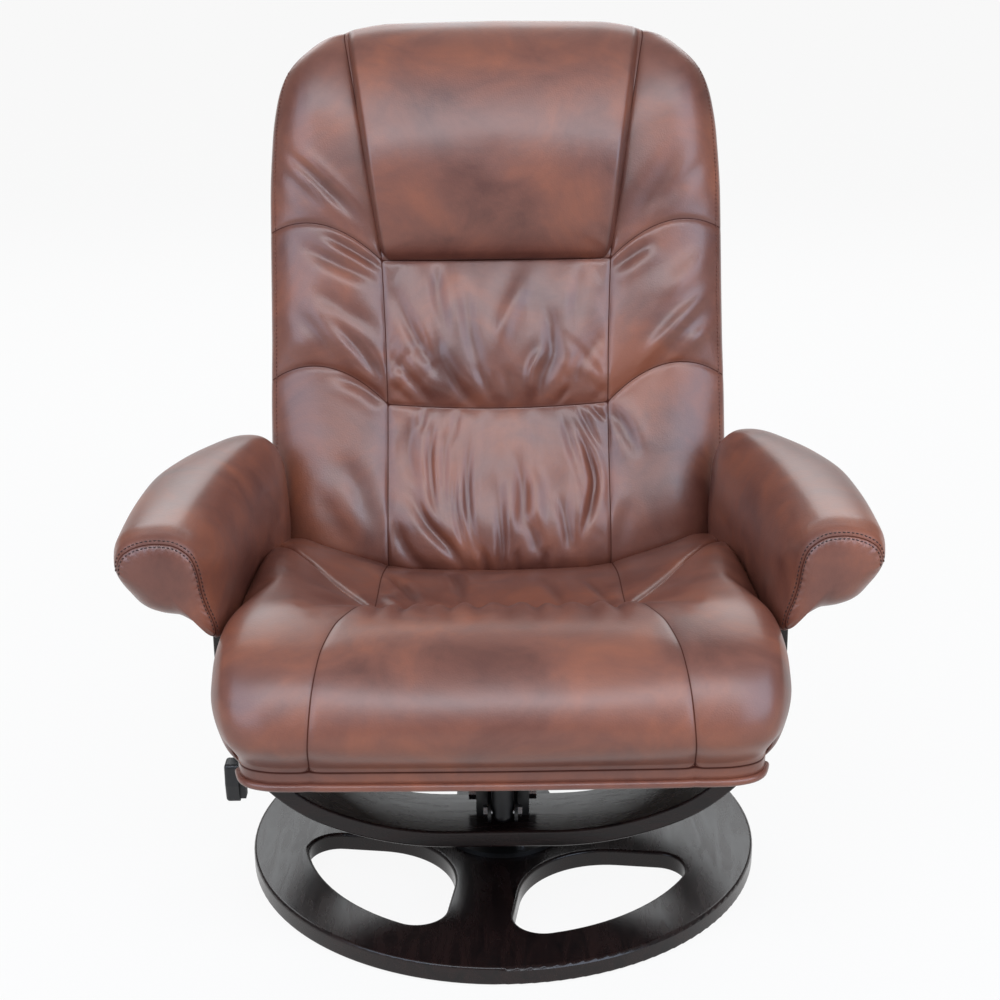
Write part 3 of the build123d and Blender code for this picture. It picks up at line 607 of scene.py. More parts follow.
# Fold lines: width, height, then the places it runs through, across and up the back
centreFolds = [
    (0.0080, -0.0026, ((-0.106, 0.196), (-0.114, 0.147), (-0.102, 0.096))),
    (0.0048, -0.0036, ((-0.077, 0.204), (-0.086, 0.142), (-0.083, 0.097), (-0.072, 0.040))),
    (0.0055, -0.0022, ((-0.066, 0.190), (-0.069, 0.109), (-0.062, 0.040))),
    (0.0045, -0.0030, ((-0.050, 0.170), (-0.055, 0.088), (-0.048, 0.044), (-0.034, -0.004))),
    (0.0052, -0.0040, ((-0.032, 0.186), (-0.040, 0.109), (-0.038, 0.066), (-0.025, 0.008))),
    (0.0060, -0.0040, ((0.000, 0.104), (0.003, 0.022), (-0.001, -0.016))),
    (0.0060, -0.0026, ((0.022, 0.150), (0.031, 0.090), (0.028, 0.040))),
    (0.0075, -0.0030, ((0.034, 0.070), (0.052, 0.006))),
    (0.0065, -0.0036, ((0.076, 0.096), (0.084, 0.050), (0.090, 0.012))),
    (0.0050, -0.0055, ((0.086, 0.206), (0.112, 0.144), (0.120, 0.107), (0.115, 0.075), (0.094, 0.014))),
    (0.0055, -0.0022, ((0.078, 0.202), (0.102, 0.116))),
    (0.0066, -0.0055, ((-0.116, 0.108), (-0.088, 0.054), (-0.064, 0.027), (-0.034, -0.012))),
    (0.0080, -0.0040, ((-0.139, 0.080), (-0.114, 0.020), (-0.076, -0.012))),
    (0.0090, 0.0030, ((0.012, 0.130), (0.014, 0.030))),
    (0.0100, 0.0032, ((0.046, 0.132), (0.048, 0.036))),
    (0.0080, 0.0026, ((0.096, 0.130), (0.100, 0.050))),
    (0.0055, -0.0045, ((-0.022, 0.030), (-0.012, -0.020))),
    (0.0055, -0.0036, ((0.020, 0.028), (0.026, -0.018))),
    (0.0055, -0.0036, ((0.058, 0.028), (0.056, -0.018))),
    (0.0042, -0.0018, ((-0.092, 0.210), (-0.097, 0.170))),
    (0.0055, -0.0018, ((-0.049, 0.210), (-0.060, 0.150))),
    (0.0075, -0.0014, ((-0.014, 0.206), (-0.016, 0.130))),
    (0.0075, -0.0014, ((0.042, 0.206), (0.050, 0.130))),
    (0.0042, -0.0024, ((0.098, 0.208), (0.128, 0.144))),
    (0.0036, -0.0020, ((0.114, 0.208), (0.138, 0.180))),
    (0.0080, -0.0040, ((-0.138, 0.372), (-0.107, 0.300), (-0.082, 0.256), (-0.056, 0.212))),
    (0.0068, -0.0032, ((-0.139, 0.280), (-0.108, 0.237), (-0.076, 0.200))),
    (0.0078, -0.0036, ((-0.090, 0.356), (-0.072, 0.268), (-0.043, 0.220), (-0.022, 0.196))),
    (0.0080, -0.0034, ((-0.076, 0.390), (-0.074, 0.347), (-0.058, 0.276))),
    (0.0085, -0.0028, ((-0.040, 0.372), (-0.034, 0.300), (-0.012, 0.220))),
    (0.0055, -0.0018, ((-0.139, 0.236), (-0.104, 0.206))),
    (0.0065, -0.0022, ((-0.026, 0.258), (-0.004, 0.202))),
    (0.0110, 0.0036, ((0.042, 0.390), (0.027, 0.346), (0.008, 0.302), (-0.004, 0.250))),
    (0.0090, -0.0044, ((0.046, 0.372), (0.069, 0.298), (0.070, 0.270), (0.058, 0.235), (0.048, 0.202))),
    (0.0090, -0.0024, ((0.140, 0.306), (0.108, 0.260), (0.090, 0.206))),
    (0.0060, 0.0036, ((0.064, 0.284), (0.042, 0.240), (0.044, 0.204))),
    (0.0042, -0.0022, ((0.094, 0.232), (0.070, 0.200))),
    (0.0055, -0.0012, ((0.141, 0.230), (0.116, 0.203))),
    (0.0080, -0.0022, ((0.010, 0.258), (0.018, 0.202))),
    (0.0100, -0.0022, ((0.112, 0.390), (0.096, 0.300))),
]
# Rubbed spots and painted shade: across, up, half width, half height, shift of the colour
backTones = [
    (-0.060, 0.186, 0.060, 0.022, 0.08),
    (0.010, 0.178, 0.060, 0.028, 0.06),
    (0.086, 0.362, 0.035, 0.022, 0.08),
    (-0.115, 0.190, 0.020, 0.018, 0.08),
    (-0.205, 0.060, 0.045, 0.040, 0.07),
    (0.205, 0.060, 0.045, 0.040, 0.07),
    (0.165, 0.215, 0.025, 0.025, 0.06),
    # painted shade along the bottom of the centre panel, where it turns under towards the seat
    (0.000, 0.000, 0.110, 0.018, -0.08),
]
wingFolds = [
    (0.0068, -0.0042, ((-0.276, 0.540), (-0.222, 0.490), (-0.162, 0.430))),
    (0.0095, -0.0022, ((-0.282, 0.524), (-0.216, 0.452))),
    (0.0064, -0.0042, ((-0.226, 0.428), (-0.175, 0.399), (-0.136, 0.374))),
    (0.0085, -0.0030, ((-0.258, 0.420), (-0.197, 0.384), (-0.144, 0.362))),
    (0.0120, -0.0028, ((-0.236, 0.362), (-0.150, 0.292))),
    (0.0080, -0.0044, ((-0.222, 0.328), (-0.168, 0.271), (-0.137, 0.222))),
    (0.0105, -0.0026, ((-0.262, 0.338), (-0.196, 0.258))),
    (0.0075, -0.0032, ((-0.216, 0.250), (-0.167, 0.228), (-0.139, 0.204))),
    (0.0140, -0.0036, ((-0.196, 0.150), (-0.146, 0.026))),
    (0.0140, -0.0026, ((-0.232, 0.112), (-0.170, 0.008))),
    (0.0135, -0.0032, ((0.246, 0.540), (0.205, 0.480), (0.160, 0.416))),
    (0.0100, -0.0020, ((0.280, 0.526), (0.204, 0.450))),
    (0.0085, 0.0040, ((0.284, 0.362), (0.240, 0.319), (0.200, 0.276), (0.166, 0.238))),
    (0.0075, 0.0020, ((0.280, 0.312), (0.204, 0.246))),
    (0.0080, -0.0034, ((0.204, 0.414), (0.139, 0.370))),
    (0.0160, 0.0028, ((0.284, 0.410), (0.204, 0.326))),
    (0.0075, -0.0034, ((0.139, 0.206), (0.160, 0.172), (0.176, 0.132))),
    (0.0130, -0.0024, ((0.160, 0.090), (0.140, -0.004))),
]


def backGrid(form):
    low, mid, head = form["low"], form["midSeam"], form["headSeam"]
    n0, n1, n2 = form["rows"]
    level = np.concatenate(
        [np.linspace(0, 1, n0 + 1), 1 + np.linspace(0, 1, n1 + 1)[1:], 2 + spaced(n2, 0.3)[1:]]
    )
    up = np.interp(level, [0, 1, 2, 3], [low, mid, head, form["topUp"][0]])
    wing = spaced(form["wingColumns"], 0.35)
    centre = -1 + 2 * spaced(form["centreColumns"], 0.25)
    rise = through([0, 1, 2, 3], [0, form["edgeRise"]["mid"], form["edgeRise"]["head"], 0], level)
    bow = form["wingArc"]
    arc = through([0, 1, 2, 3], [0, bow["mid"], bow["head"], bow["top"]], level)
    share = np.clip(level - 2, 0, 1)
    seamX = through(form["seamUp"], form["seamAcross"], up)
    topAtSeam = np.interp(form["seamAcross"][-1], form["topAcross"], form["topUp"])
    seamUp = up + share * (topAtSeam - form["topUp"][0])
    edgeUp = up + rise
    edgeUp = edgeUp + share**2 * (form["sideUp"][-1] - edgeUp[-1])
    edgeX = through(form["sideUp"], form["sideHalf"], edgeUp)
    wx = seamX[:, None] + (edgeX - seamX)[:, None] * wing
    wu = seamUp[:, None] + (edgeUp - seamUp)[:, None] * wing + arc[:, None] * 4 * wing * (1 - wing)
    cx = centre * seamX[:, None]
    topRow = through(form["topAcross"], form["topUp"], np.abs(cx))
    cu = up[:, None] + share[:, None] * (topRow - form["topUp"][0])
    cu = cu - form["midSag"] * np.exp(-(((level - 1) / 0.4) ** 2))[:, None] * (1 - centre**2)
    onWing = np.broadcast_to(wing, wx.shape)
    inCentre = np.broadcast_to(np.abs(centre) - 1, cx.shape)
    x = np.hstack([-wx[:, :0:-1], cx, wx[:, 1:]])
    u = np.hstack([wu[:, :0:-1], cu, wu[:, 1:]])
    place = np.hstack([onWing[:, :0:-1], inCentre, onWing[:, 1:]])
    return x, u, place, up


def backDepth(form, up, place):
    # place is below 0 in the centre panels and 0 to 1 across the wings
    station = form["outUp"] + form["headUp"]
    seam, centre, wing, edge = [
        through(station, form[low] + form[high], up)[:, None]
        for low, high in (
            ("seamOut", "headSeamOut"),
            ("centreOut", "headCentreOut"),
            ("wingOut", "headWingOut"),
            ("edgeOut", "headEdgeOut"),
        )
    ]
    inside = seam + (centre - seam) * (1 - np.abs(place + 1) ** 2.6)
    w = np.clip(place, 0, 1)
    line = seam + (edge - seam) * w**5
    outside = line + (wing - seam) * np.sin(math.pi * w**1.1)
    return np.where(place < 0, inside, outside)


def boundaryOf(rows, cols):
    # point numbers once round a grid
    table = np.arange(rows * cols).reshape(rows, cols)
    return list(table[0, :-1]) + list(table[:-1, -1]) + list(table[-1, :0:-1]) + list(table[:0:-1, 0])


def outwardFlat(x, y):
    # unit normals pointing out of a closed line that runs counter-clockwise
    dx = np.roll(x, -1) - np.roll(x, 1)
    dy = np.roll(y, -1) - np.roll(y, 1)
    length = np.maximum(np.hypot(dx, dy), 1e-9)
    return dy / length, -dx / length


def closeBehind(points, faces, x, u, rings):
    # rings round a grid: how far outward, and the depth of each ring's points
    rows, cols = x.shape
    loop = boundaryOf(rows, cols)
    bx = x.ravel()[loop]
    bu = u.ravel()[loop]
    nx, nu = outwardFlat(bx, bu)
    for k in range(6):
        nx = (np.roll(nx, 1) + nx + np.roll(nx, -1)) / 3
        nu = (np.roll(nu, 1) + nu + np.roll(nu, -1)) / 3
    last = loop
    stack = [points]
    count = len(points)
    for outward, depth in rings:
        ring = onBack(bx + outward * nx, bu + outward * nu, depth)
        stack.append(ring)
        now = list(range(count, count + len(loop)))
        count += len(loop)
        n = len(loop)
        for k in range(n):
            faces.append([last[k], now[k], now[(k + 1) % n], last[(k + 1) % n]])
        last = now
    return np.vstack(stack), faces


def makeBackCushion():
    form = backForm
    x, u, place, up = backGrid(form)
    rows, cols = x.shape
    out = backDepth(form, up, place)
    # even the depth out along the rows
    for k in range(2):
        padded = np.pad(out, ((2, 2), (0, 0)), mode="reflect", reflect_type="odd")
        out = (padded[:-4] + 2 * padded[1:-3] + 3 * padded[2:-2] + 2 * padded[3:-1] + padded[4:]) / 9
    w = form["wingColumns"]
    c = form["centreColumns"]
    n0, n1 = form["rows"][:2]
    seamRows = (n0, n0 + n1)
    seamCols = (w, w + c)
    onSeam = np.zeros((rows, cols), bool)
    onSeam[:, seamCols] = True
    onSeam[list(seamRows), :] = True
    # distance to the nearest sewn line, in metres
    gap = np.full((rows, cols), 1.0)
    for k in seamCols:
        gap = np.minimum(gap, np.hypot(x - x[:, [k]], u - u[:, [k]]))
    for k in seamRows:
        gap = np.minimum(gap, np.hypot(x - x[[k], :], u - u[[k], :]))
    fromSides = np.minimum(np.abs(x - x[:, [0]]), np.abs(x - x[:, [-1]]))
    edgeGap = np.minimum(fromSides, np.abs(u - u[[-1], :]))
    out = out - form["seamDip"] * np.exp(-gap / form["dipReach"])
    points = onBack(x, u, out).reshape(-1, 3)
    faces = gridFaces(np.arange(rows * cols).reshape(rows, cols).tolist())
    loop = boundaryOf(rows, cols)
    rim = out.ravel()[loop]
    rear = -form["depth"]
    rings = [(outward, rim + (rear - rim) * share) for outward, share in form["edge"]]
    rings += [(outward, rear) for outward in form["tuckedIn"]]
    points, faces = closeBehind(points, faces, x, u, rings)
    piece = newPiece("back_cushion_skin", points, faces, leather)
    total = len(points)
    front = rows * cols
    seam = np.zeros(total)
    seam[:front] = seamTone(gap.ravel())
    # the seams and the rim stay sewn down while the panels fill
    held = np.ones(total)
    held[:front] = np.where(onSeam.ravel(), 1, 0)
    held[:front] = np.maximum(held[:front], (edgeGap.ravel() < form["rimHeld"]) * 1.0)
    held[:front] = np.maximum(held[:front], (u < 0).ravel() * form["heldLow"])
    hidden = ((place < 0) & (u > form["headSeam"])).ravel()
    held[:front] = np.maximum(held[:front], hidden * 1.0)
    # spare leather across the gathered panels and along the wings
    slack = points.copy()
    spare = form["slack"]
    wide = np.where(u < form["headSeam"], spare["across"], 1.0)
    sx = np.where(place < 0, x * wide, x + np.sign(x) * form["seamAcross"][1] * (wide - 1))
    slack[:front] = onBack(sx, u * spare["up"], out).reshape(-1, 3)
    swell(piece, held, slack, form["mostSwell"], form["pressure"])
    setNumbers(piece.data, "seam", seam)
    sharp = np.zeros(total, bool)
    sharp[:front] = onSeam.ravel() & ~hidden
    lines = {"rows": rows, "cols": cols, "seamRows": seamRows, "seamCols": seamCols}
    sewLines = readLines(piece, lines)
    refine(piece, sharp, 1.0)
    foldBack(piece)
    closeHoles(piece)
    return piece, sewLines


def foldBack(piece):
    # press the furrows into the filled panels, fading out at the sewn lines
    form = backForm
    mesh = piece.data
    co = coordsOf(mesh)
    across = co[:, 0]
    up = (co - backZero) @ backUp
    out = (co - backZero) @ backOut
    sewn = numbersOf(mesh, "seam")
    seamX = through(form["seamUp"], form["seamAcross"], up)
    inCentre = (np.abs(across) < seamX) & (up < form["headSeam"])
    onWing = np.abs(across) >= seamX
    height = foldHeight(across, up, centreFolds) * inCentre
    height = height + foldHeight(across, up, wingFolds) * onWing
    height = height * (1 - sewn**3) * gentle((out - form["foldsFrom"]) / form["foldsFade"])
    pressFolds(mesh, co, height, backOut)
    setNumbers(mesh, "tone", toneOf(across, up, backTones))


def readLines(piece, grid):
    # places of the sewn lines on the filled skin, as lists of points
    co = coordsOf(piece.data)
    normals = normalsOf(piece.data)
    table = np.arange(grid["rows"] * grid["cols"]).reshape(grid["rows"], grid["cols"])
    found = {}
    for k in grid["seamRows"]:
        found["row%d" % k] = (co[table[k]], normals[table[k]])
    for k in grid["seamCols"]:
        found["col%d" % k] = (co[table[:, k]], normals[table[:, k]])
    found["left"] = (co[table[:, 2]], normals[table[:, 2]])
    found["right"] = (co[table[:, -3]], normals[table[:, -3]])
    return found


backCushion, backLines = makeBackCushion()
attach(backCushion, "back")
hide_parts("back_cushion")
print("back cushion:", len(backCushion.data.polygons), "faces")

# Headrest pillow, boxed along its sides and rolled over the top edge
pillowForm = {
    "rows": 44,
    "columns": 48,
    "lowUp": 0.390,
    "lowHalf": 0.1465,
    "topHalf": 0.190,
    "upShare": (0.0, 0.029, 0.08, 0.20, 0.32, 0.40, 0.463, 0.559, 0.671, 0.767, 0.859, 0.939, 1.0),
    "crown": (
        *(-0.002, 0.010, 0.018, 0.0305, 0.040, 0.0435, 0.043),
        *(0.0385, 0.0325, 0.025, 0.013, -0.004, -0.027),
    ),
    "sideOut": (
        *(-0.008, -0.006, -0.004, 0.0, 0.002, 0.002, 0.003),
        *(0.003, 0.0, -0.004, -0.010, -0.020, -0.034),
    ),
    "tones": (
        (-0.145, 0.535, 0.030, 0.060, 0.13),
        (0.110, 0.455, 0.045, 0.040, 0.10),
        # darker lower middle of the pillow: darker leather, and painted shade where it faces down
        (-0.020, 0.455, 0.055, 0.040, -0.13),
        (0.020, 0.640, 0.110, 0.030, 0.05),
        (-0.060, 0.420, 0.060, 0.020, 0.05),
    ),
    "boxing": {"left": 0.968, "right": 0.955},
    "corner": {"rise": 0.008, "from": 0.9, "over": 0.1},
    "sideFall": 0.16,
    "narrowEnds": 0.008,
    "underTop": 0.0005,
    "hem": ((0.0, -0.006), (-0.004, -0.010)),
    "heldNear": 0.012,
    "heldEnds": (0.02, 0.97),
    "heldSides": 0.97,
    "mostSwell": 0.010,
    "pressure": 3.0,
    "frames": 14,
}


def makePillow():
    form = pillowForm
    t = spaced(form["rows"], 0.3)[:, None]
    c = (-1 + 2 * spaced(form["columns"], 0.55))[None, :]
    half = form["lowHalf"] + (form["topHalf"] - form["lowHalf"]) * t
    x = c * half * (1 - form["narrowEnds"] * (2 * t - 1) ** 8)
    top = through(backForm["topAcross"], backForm["topUp"], np.abs(c * form["topHalf"]))
    top = top - form["underTop"]
    u = form["lowUp"] + (top - form["lowUp"]) * t
    crown = through(form["upShare"], form["crown"], t)
    side = through(form["upShare"], form["sideOut"], t)
    body = 1 - form["sideFall"] * np.abs(c) ** 3
    boxing = np.where(c < 0, form["boxing"]["left"], form["boxing"]["right"])
    box = 1 - gentle((np.abs(c) - boxing) / (1 - boxing))
    corner = form["corner"]
    u = u + corner["rise"] * gentle((np.abs(c) - corner["from"]) / corner["over"]) ** 2 * (1 - t) ** 6
    out = side + (crown * body - side) * box
    rows, cols = x.shape
    points = onBack(x, u, out).reshape(-1, 3)
    faces = gridFaces(np.arange(rows * cols).reshape(rows, cols).tolist())
    loop = boundaryOf(rows, cols)
    rim = out.ravel()[loop]
    rings = [(outward, rim + back) for outward, back in form["hem"]]
    points, faces = closeBehind(points, faces, x, u, rings)
    piece = newPiece("headrest_pillow_skin", points, faces, leather)
    total = len(points)
    front = rows * cols
    wide = np.broadcast_to(np.abs(c), x.shape)
    seamAt = (boxing - wide) * half
    gap = np.minimum(np.abs(seamAt), np.abs(u - u[[1], :]) + 0.001)
    seam = np.zeros(total)
    seam[:front] = seamTone(gap.ravel())
    held = np.ones(total)
    lowEnd, topEnd = form["heldEnds"]
    edge = (np.abs(wide - boxing) < form["heldNear"]) | (t < lowEnd) | (t > topEnd)
    edge = edge | (wide > form["heldSides"])
    held[:front] = edge.ravel() * 1.0
    swell(piece, held, None, form["mostSwell"], form["pressure"], form["frames"])
    setNumbers(piece.data, "seam", seam)
    refine(piece)
    co = coordsOf(piece.data)
    setNumbers(piece.data, "tone", toneOf(co[:, 0], (co - backZero) @ backUp, form["tones"]))
    closeHoles(piece)
    return piece


pillow = makePillow()
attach(pillow, "back")
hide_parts("headrest_pillow")
print("headrest pillow:", len(pillow.data.polygons), "faces")

# Rear cover: an upholstered shell behind the cushion
coverForm = {
    "front": -0.0602,
    "rear": -0.0962,
    "inset": 0.985,
    "puff": {"deep": 0.004, "half": 0.285, "tall": 0.7},
    "panel": {"across": 0.975, "up": 0.985, "raise": 0.004},
    "edge": ((-0.0025, 0.003), (0.0, 0.010), (0.001, 0.022)),
    "tuckedIn": (0.0, -0.012),
    "seam": 0.6,
    "rows": (16, 12, 18),
    "wingColumns": 10,
    "centreColumns": 20,
}


def makeCover():
    form = coverForm
    outline = dict(backForm, rows=form["rows"], wingColumns=form["wingColumns"])
    outline["centreColumns"] = form["centreColumns"]
    outline["edgeRise"] = {"mid": 0.0, "head": 0.0}
    outline["wingArc"] = {"mid": 0.0, "head": 0.0, "top": 0.006}
    x, u = backGrid(outline)[:2]
    x = x * form["inset"]
    u = u * form["inset"]
    rows, cols = x.shape
    puff = form["puff"]
    reach = 1 - np.clip(np.abs(x) / puff["half"], 0, 1) ** 4
    out = form["rear"] - puff["deep"] * reach * np.clip(1 - (2 * u / puff["tall"] - 1) ** 4, 0, 1)
    panel = form["panel"]
    points = onBack(x * panel["across"], u * panel["up"] + panel["raise"], out).reshape(-1, 3)
    faces = gridFaces(np.arange(rows * cols).reshape(rows, cols).tolist())
    rings = [(outward, form["rear"] + ahead) for outward, ahead in form["edge"]]
    rings += [(outward, form["front"]) for outward in form["tuckedIn"]]
    points, faces = closeBehind(points, faces, x, u, rings)
    piece = newPiece("rear_cover_skin", points, faces, leather)
    first = rows * cols
    ring = np.arange(first, first + len(boundaryOf(rows, cols)))
    edgeLine = coordsOf(piece.data)[np.append(ring, ring[0])]
    seam = np.zeros(len(points))
    seam[ring] = form["seam"]
    setNumbers(piece.data, "seam", seam)
    refine(piece)
    closeHoles(piece)
    return piece, edgeLine


rearCover, coverEdge = makeCover()
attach(rearCover, "back")
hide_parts("back_cover")
print("rear cover:", len(rearCover.data.polygons), "faces")

# Seat cushion: front roll, recessed rear panel, two side panels, band and walls
seatForm = {
    "under": 0.2865,
    "bandTop": 0.3065,
    "bandY": -0.384,
    "bulge": (-0.409, 0.345),
    "shoulder": (-0.379, 0.399),
    "brow": (-0.335, 0.4235),
    "crownY": -0.262,
    "crossY": -0.172,
    "crossShare": 0.6,
    "across": (0.0, 0.110, 0.190, 0.232, 0.263, 0.286, 0.2975),
    "pull": (0.0, 0.001, 0.002, 0.003, 0.009, 0.022, 0.042),
    "crown": (0.433, 0.432, 0.433, 0.434, 0.433, 0.428, 0.414),
    "cross": (0.392, 0.394, 0.406, 0.420, 0.424, 0.419, 0.403),
    "rear": (0.338, 0.341, 0.360, 0.374, 0.385, 0.385, 0.372),
    "rearY": (0.090, 0.090, 0.089, 0.088, 0.087, 0.084, 0.078),
    "taper": 0.14,
    "wideY": -0.366,
    "seamShare": (0.0, 0.25, 0.36, 0.44, 0.53, 0.58, 0.60, 0.80, 1.0),
    "seamAcross": (0.197, 0.185, 0.174, 0.157, 0.147, 0.144, 0.143, 0.146, 0.149),
    "sideRearY": 0.055,
    "frontRows": 54,
    "rearRows": 30,
    "sideColumns": 24,
    "centreColumns": 64,
    "wallRows": 9,
    "wallLowX": 0.268,
    "wallBulge": {"out": 0.005, "fullAt": 0.06},
    "tuck": {"deep": 0.024, "until": 0.2},
    "rearFace": (0.35, 0.7, 1.0),
    "rearBulge": 0.004,
    "seamDip": 0.006,
    "dipReach": 0.005,
    "slack": 1.015,
    "mostSwell": 0.022,
    "foldsAbove": 0.33,
}
# Fold lines on the seat: width, height, then the places, across and back
seatFolds = [
    (0.0065, -0.0060, ((-0.140, 0.000), (-0.112, -0.070), (-0.086, -0.170))),
    (0.0070, 0.0030, ((-0.140, -0.100), (-0.104, -0.176))),
    (0.0075, -0.0050, ((-0.062, 0.030), (-0.048, -0.050), (-0.040, -0.175))),
    (0.0080, -0.0036, ((0.050, -0.010), (0.074, -0.175))),
    (0.0070, -0.0036, ((0.098, -0.020), (0.126, -0.172))),
]
# gathers over the crown, where the roll is sewn to the recessed panel
gatherSpots = (-0.121, -0.098, -0.072, -0.051, -0.022, 0.008, 0.037, 0.058, 0.090, 0.117)
for k, spot in enumerate(gatherSpots):
    deep = 0.0040 + 0.0014 * math.sin(2.3 * k)
    seatFolds.append((0.0075, -deep, ((spot, -0.150), (spot * 1.04, -0.215), (spot * 1.1, -0.300))))


def seatProfiles(form, samples=160, ways=48):
    # y and z of the seat's upper line, from the band over the roll to the rear
    crossAt = form["crossShare"]
    across = np.linspace(0, form["across"][-1], ways)
    share = np.linspace(0, 1, samples)
    ys = np.zeros((ways, samples))
    zs = np.zeros((ways, samples))
    for k, x in enumerate(across):
        pull, crown, cross, rear, rearY = [
            float(through(form["across"], form[key], x))
            for key in ("pull", "crown", "cross", "rear", "rearY")
        ]
        drop = form["crown"][0] - crown
        line = [
            (form["bandY"] + pull, form["bandTop"]),
            (form["bulge"][0] + pull, form["bulge"][1] - 0.35 * drop),
            (form["shoulder"][0] + pull, form["shoulder"][1] - 0.8 * drop),
            (form["brow"][0] + 0.5 * pull, form["brow"][1] - drop),
            (form["crownY"], crown),
            (form["crossY"], cross),
            ((form["crossY"] + rearY) / 2, (cross + rear) / 2 + 0.009),
            (rearY, rear),
        ]
        y, z = np.array(line).T
        run = np.concatenate([[0], np.cumsum(np.hypot(np.diff(y), np.diff(z)))])
        sewn = run[5]
        before = crossAt * run / sewn
        after = crossAt + (1 - crossAt) * (run - sewn) / (run[-1] - sewn)
        key = np.where(run <= sewn, before, after)
        ys[k] = through(key, y, share)
        zs[k] = through(key, z, share)
    return across, share, ys, zs


def seatSampler(form):
    across, share, ys, zs = seatProfiles(form)

    def at(x, s):
        fx = np.clip(np.abs(x) / across[-1], 0, 1) * (len(across) - 1)
        fs = np.clip(s, 0, 1) * (len(share) - 1)
        i = np.minimum(fx.astype(int), len(across) - 2)
        j = np.minimum(fs.astype(int), len(share) - 2)
        a = fx - i
        b = fs - j
        out = []
        for table in (ys, zs):
            low = table[i, j] * (1 - b) + table[i, j + 1] * b
            high = table[i + 1, j] * (1 - b) + table[i + 1, j + 1] * b
            out.append(low * (1 - a) + high * a)
        return out

    return at


